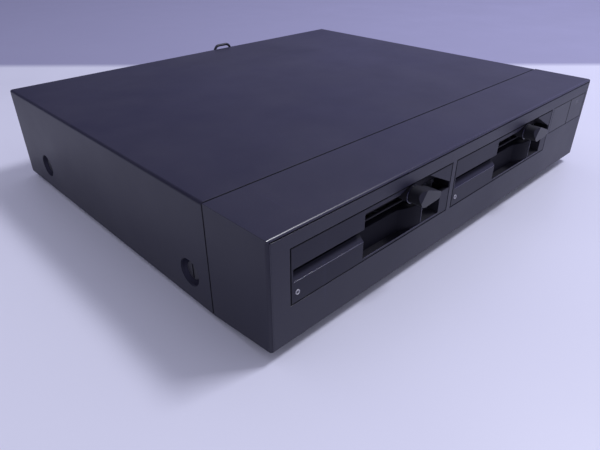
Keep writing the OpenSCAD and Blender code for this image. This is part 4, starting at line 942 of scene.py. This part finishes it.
def add_lamp(name, place, aim, size, power, colour):
    """A rectangular lamp turned towards a point"""
    data = bpy.data.lights.new(name, "AREA")
    data.shape = "RECTANGLE"
    data.size, data.size_y = size
    data.energy = power
    data.color = colour
    lamp = bpy.data.objects.new(name, data)
    bpy.context.scene.collection.objects.link(lamp)
    lamp.location = place
    lamp.rotation_euler = (Vector(aim) - Vector(place)).to_track_quat("-Z", "Y").to_euler()


class DISKUNIT_OT_stage(Operator):
    """Add the floor, backdrop, lamps, world and camera"""
    bl_idname = "disk_unit.stage"
    bl_label = "Stage"

    def execute(self, context):
        scene = context.scene
        stage = scene.disk_unit_stage
        self.sheets(stage)
        self.lamps(stage)
        self.world(scene, stage)
        self.camera(scene, stage)
        scene.view_settings.view_transform = "Standard"
        return {"FINISHED"}

    def sheets(self, stage):
        reach = 6.0
        corners = [(-reach, -reach, 0), (reach, -reach, 0), (reach, reach, 0), (-reach, reach, 0)]
        plain_sheet("floor", corners, floor_material(stage))

    def lamps(self, stage):
        add_lamp("key", (1.0, -0.64, 1.97), (0, 0, 0), (0.6, 0.35), stage.key_power, (0.93, 0.95, 1.0))

    def world(self, scene, stage):
        world = bpy.data.worlds.new("Studio")
        world.use_nodes = True
        world.node_tree.nodes.clear()
        t = Tree(world.node_tree)
        around = t.node("ShaderNodeBackground", {"Color": (0.86, 0.88, 1.0), "Strength": stage.world_level})
        seen = t.node("ShaderNodeBackground", {"Color": tuple(stage.backdrop_colour), "Strength": 1.0})
        place = t.node("ShaderNodeTexCoord").outputs["Generated"]
        heading = t.node("ShaderNodeVectorMath", {0: place, 1: RIGHTWARDS},
                         operation="DOT_PRODUCT").outputs["Value"]
        room = t.mix(t.remap(heading, -0.5, 0.5), shade_of(stage.mirror_colour, 0.5),
                     shade_of(stage.mirror_colour, 1.75))
        mirrored = t.node("ShaderNodeBackground", {"Color": room, "Strength": 1.0})
        rays = t.node("ShaderNodeLightPath").outputs
        glossy = t.node("ShaderNodeMixShader", {0: rays["Is Glossy Ray"], 1: around.outputs[0],
                                                2: mirrored.outputs[0]})
        both = t.node("ShaderNodeMixShader", {0: rays["Is Camera Ray"], 1: glossy.outputs[0], 2: seen.outputs[0]})
        t.feed(t.node("ShaderNodeOutputWorld").inputs["Surface"], both.outputs[0])
        scene.world = world

    def camera(self, scene, stage):
        data = bpy.data.cameras.new("Photograph view")
        data.sensor_fit = "HORIZONTAL"
        data.sensor_width = 36
        data.lens = stage.lens
        data.clip_start = 0.01
        camera = bpy.data.objects.new("Photograph view", data)
        scene.collection.objects.link(camera)
        yaw, pitch = stage.camera_yaw, stage.camera_pitch
        ahead = Vector((math.cos(pitch) * math.sin(yaw), math.cos(pitch) * math.cos(yaw), -math.sin(pitch)))
        turn = ahead.to_track_quat("-Z", "Y").to_matrix() @ Matrix.Rotation(stage.camera_roll, 3, "Z")
        camera.location = stage.camera_place
        camera.rotation_euler = turn.to_euler()
        scene.camera = camera


class DISKUNIT_PT_sidebar(Panel):
    """Lists the steps and settings of the disk unit"""
    bl_idname = "DISKUNIT_PT_sidebar"
    bl_label = "Disk unit"
    bl_space_type = "VIEW_3D"
    bl_region_type = "UI"
    bl_category = "Disk unit"

    def draw(self, context):
        for settings in (context.scene.disk_unit_finish, context.scene.disk_unit_stage):
            box = self.layout.box()
            for key in settings.bl_rna.properties.keys():
                if key not in ("rna_type", "name"):
                    box.prop(settings, key)
        for step in STEPS:
            self.layout.operator(step.bl_idname)


STEPS = (DISKUNIT_OT_stage, DISKUNIT_OT_case, DISKUNIT_OT_drives, DISKUNIT_OT_rear, DISKUNIT_OT_inside)
CLASSES = (FinishSettings, StageSettings, *STEPS, DISKUNIT_PT_sidebar)


def register():
    for cls in CLASSES:
        bpy.utils.register_class(cls)
    bpy.types.Scene.disk_unit_finish = PointerProperty(type=FinishSettings)
    bpy.types.Scene.disk_unit_stage = PointerProperty(type=StageSettings)


def unregister():
    del bpy.types.Scene.disk_unit_stage
    del bpy.types.Scene.disk_unit_finish
    for cls in reversed(CLASSES):
        bpy.utils.unregister_class(cls)


def main():
    register()
    for step in STEPS:
        group, name = step.bl_idname.split(".")
        result = getattr(getattr(bpy.ops, group), name)()
        if result != {"FINISHED"}:
            raise RuntimeError(f"{step.bl_idname} did not finish")


if __name__ == "__main__":
    main()
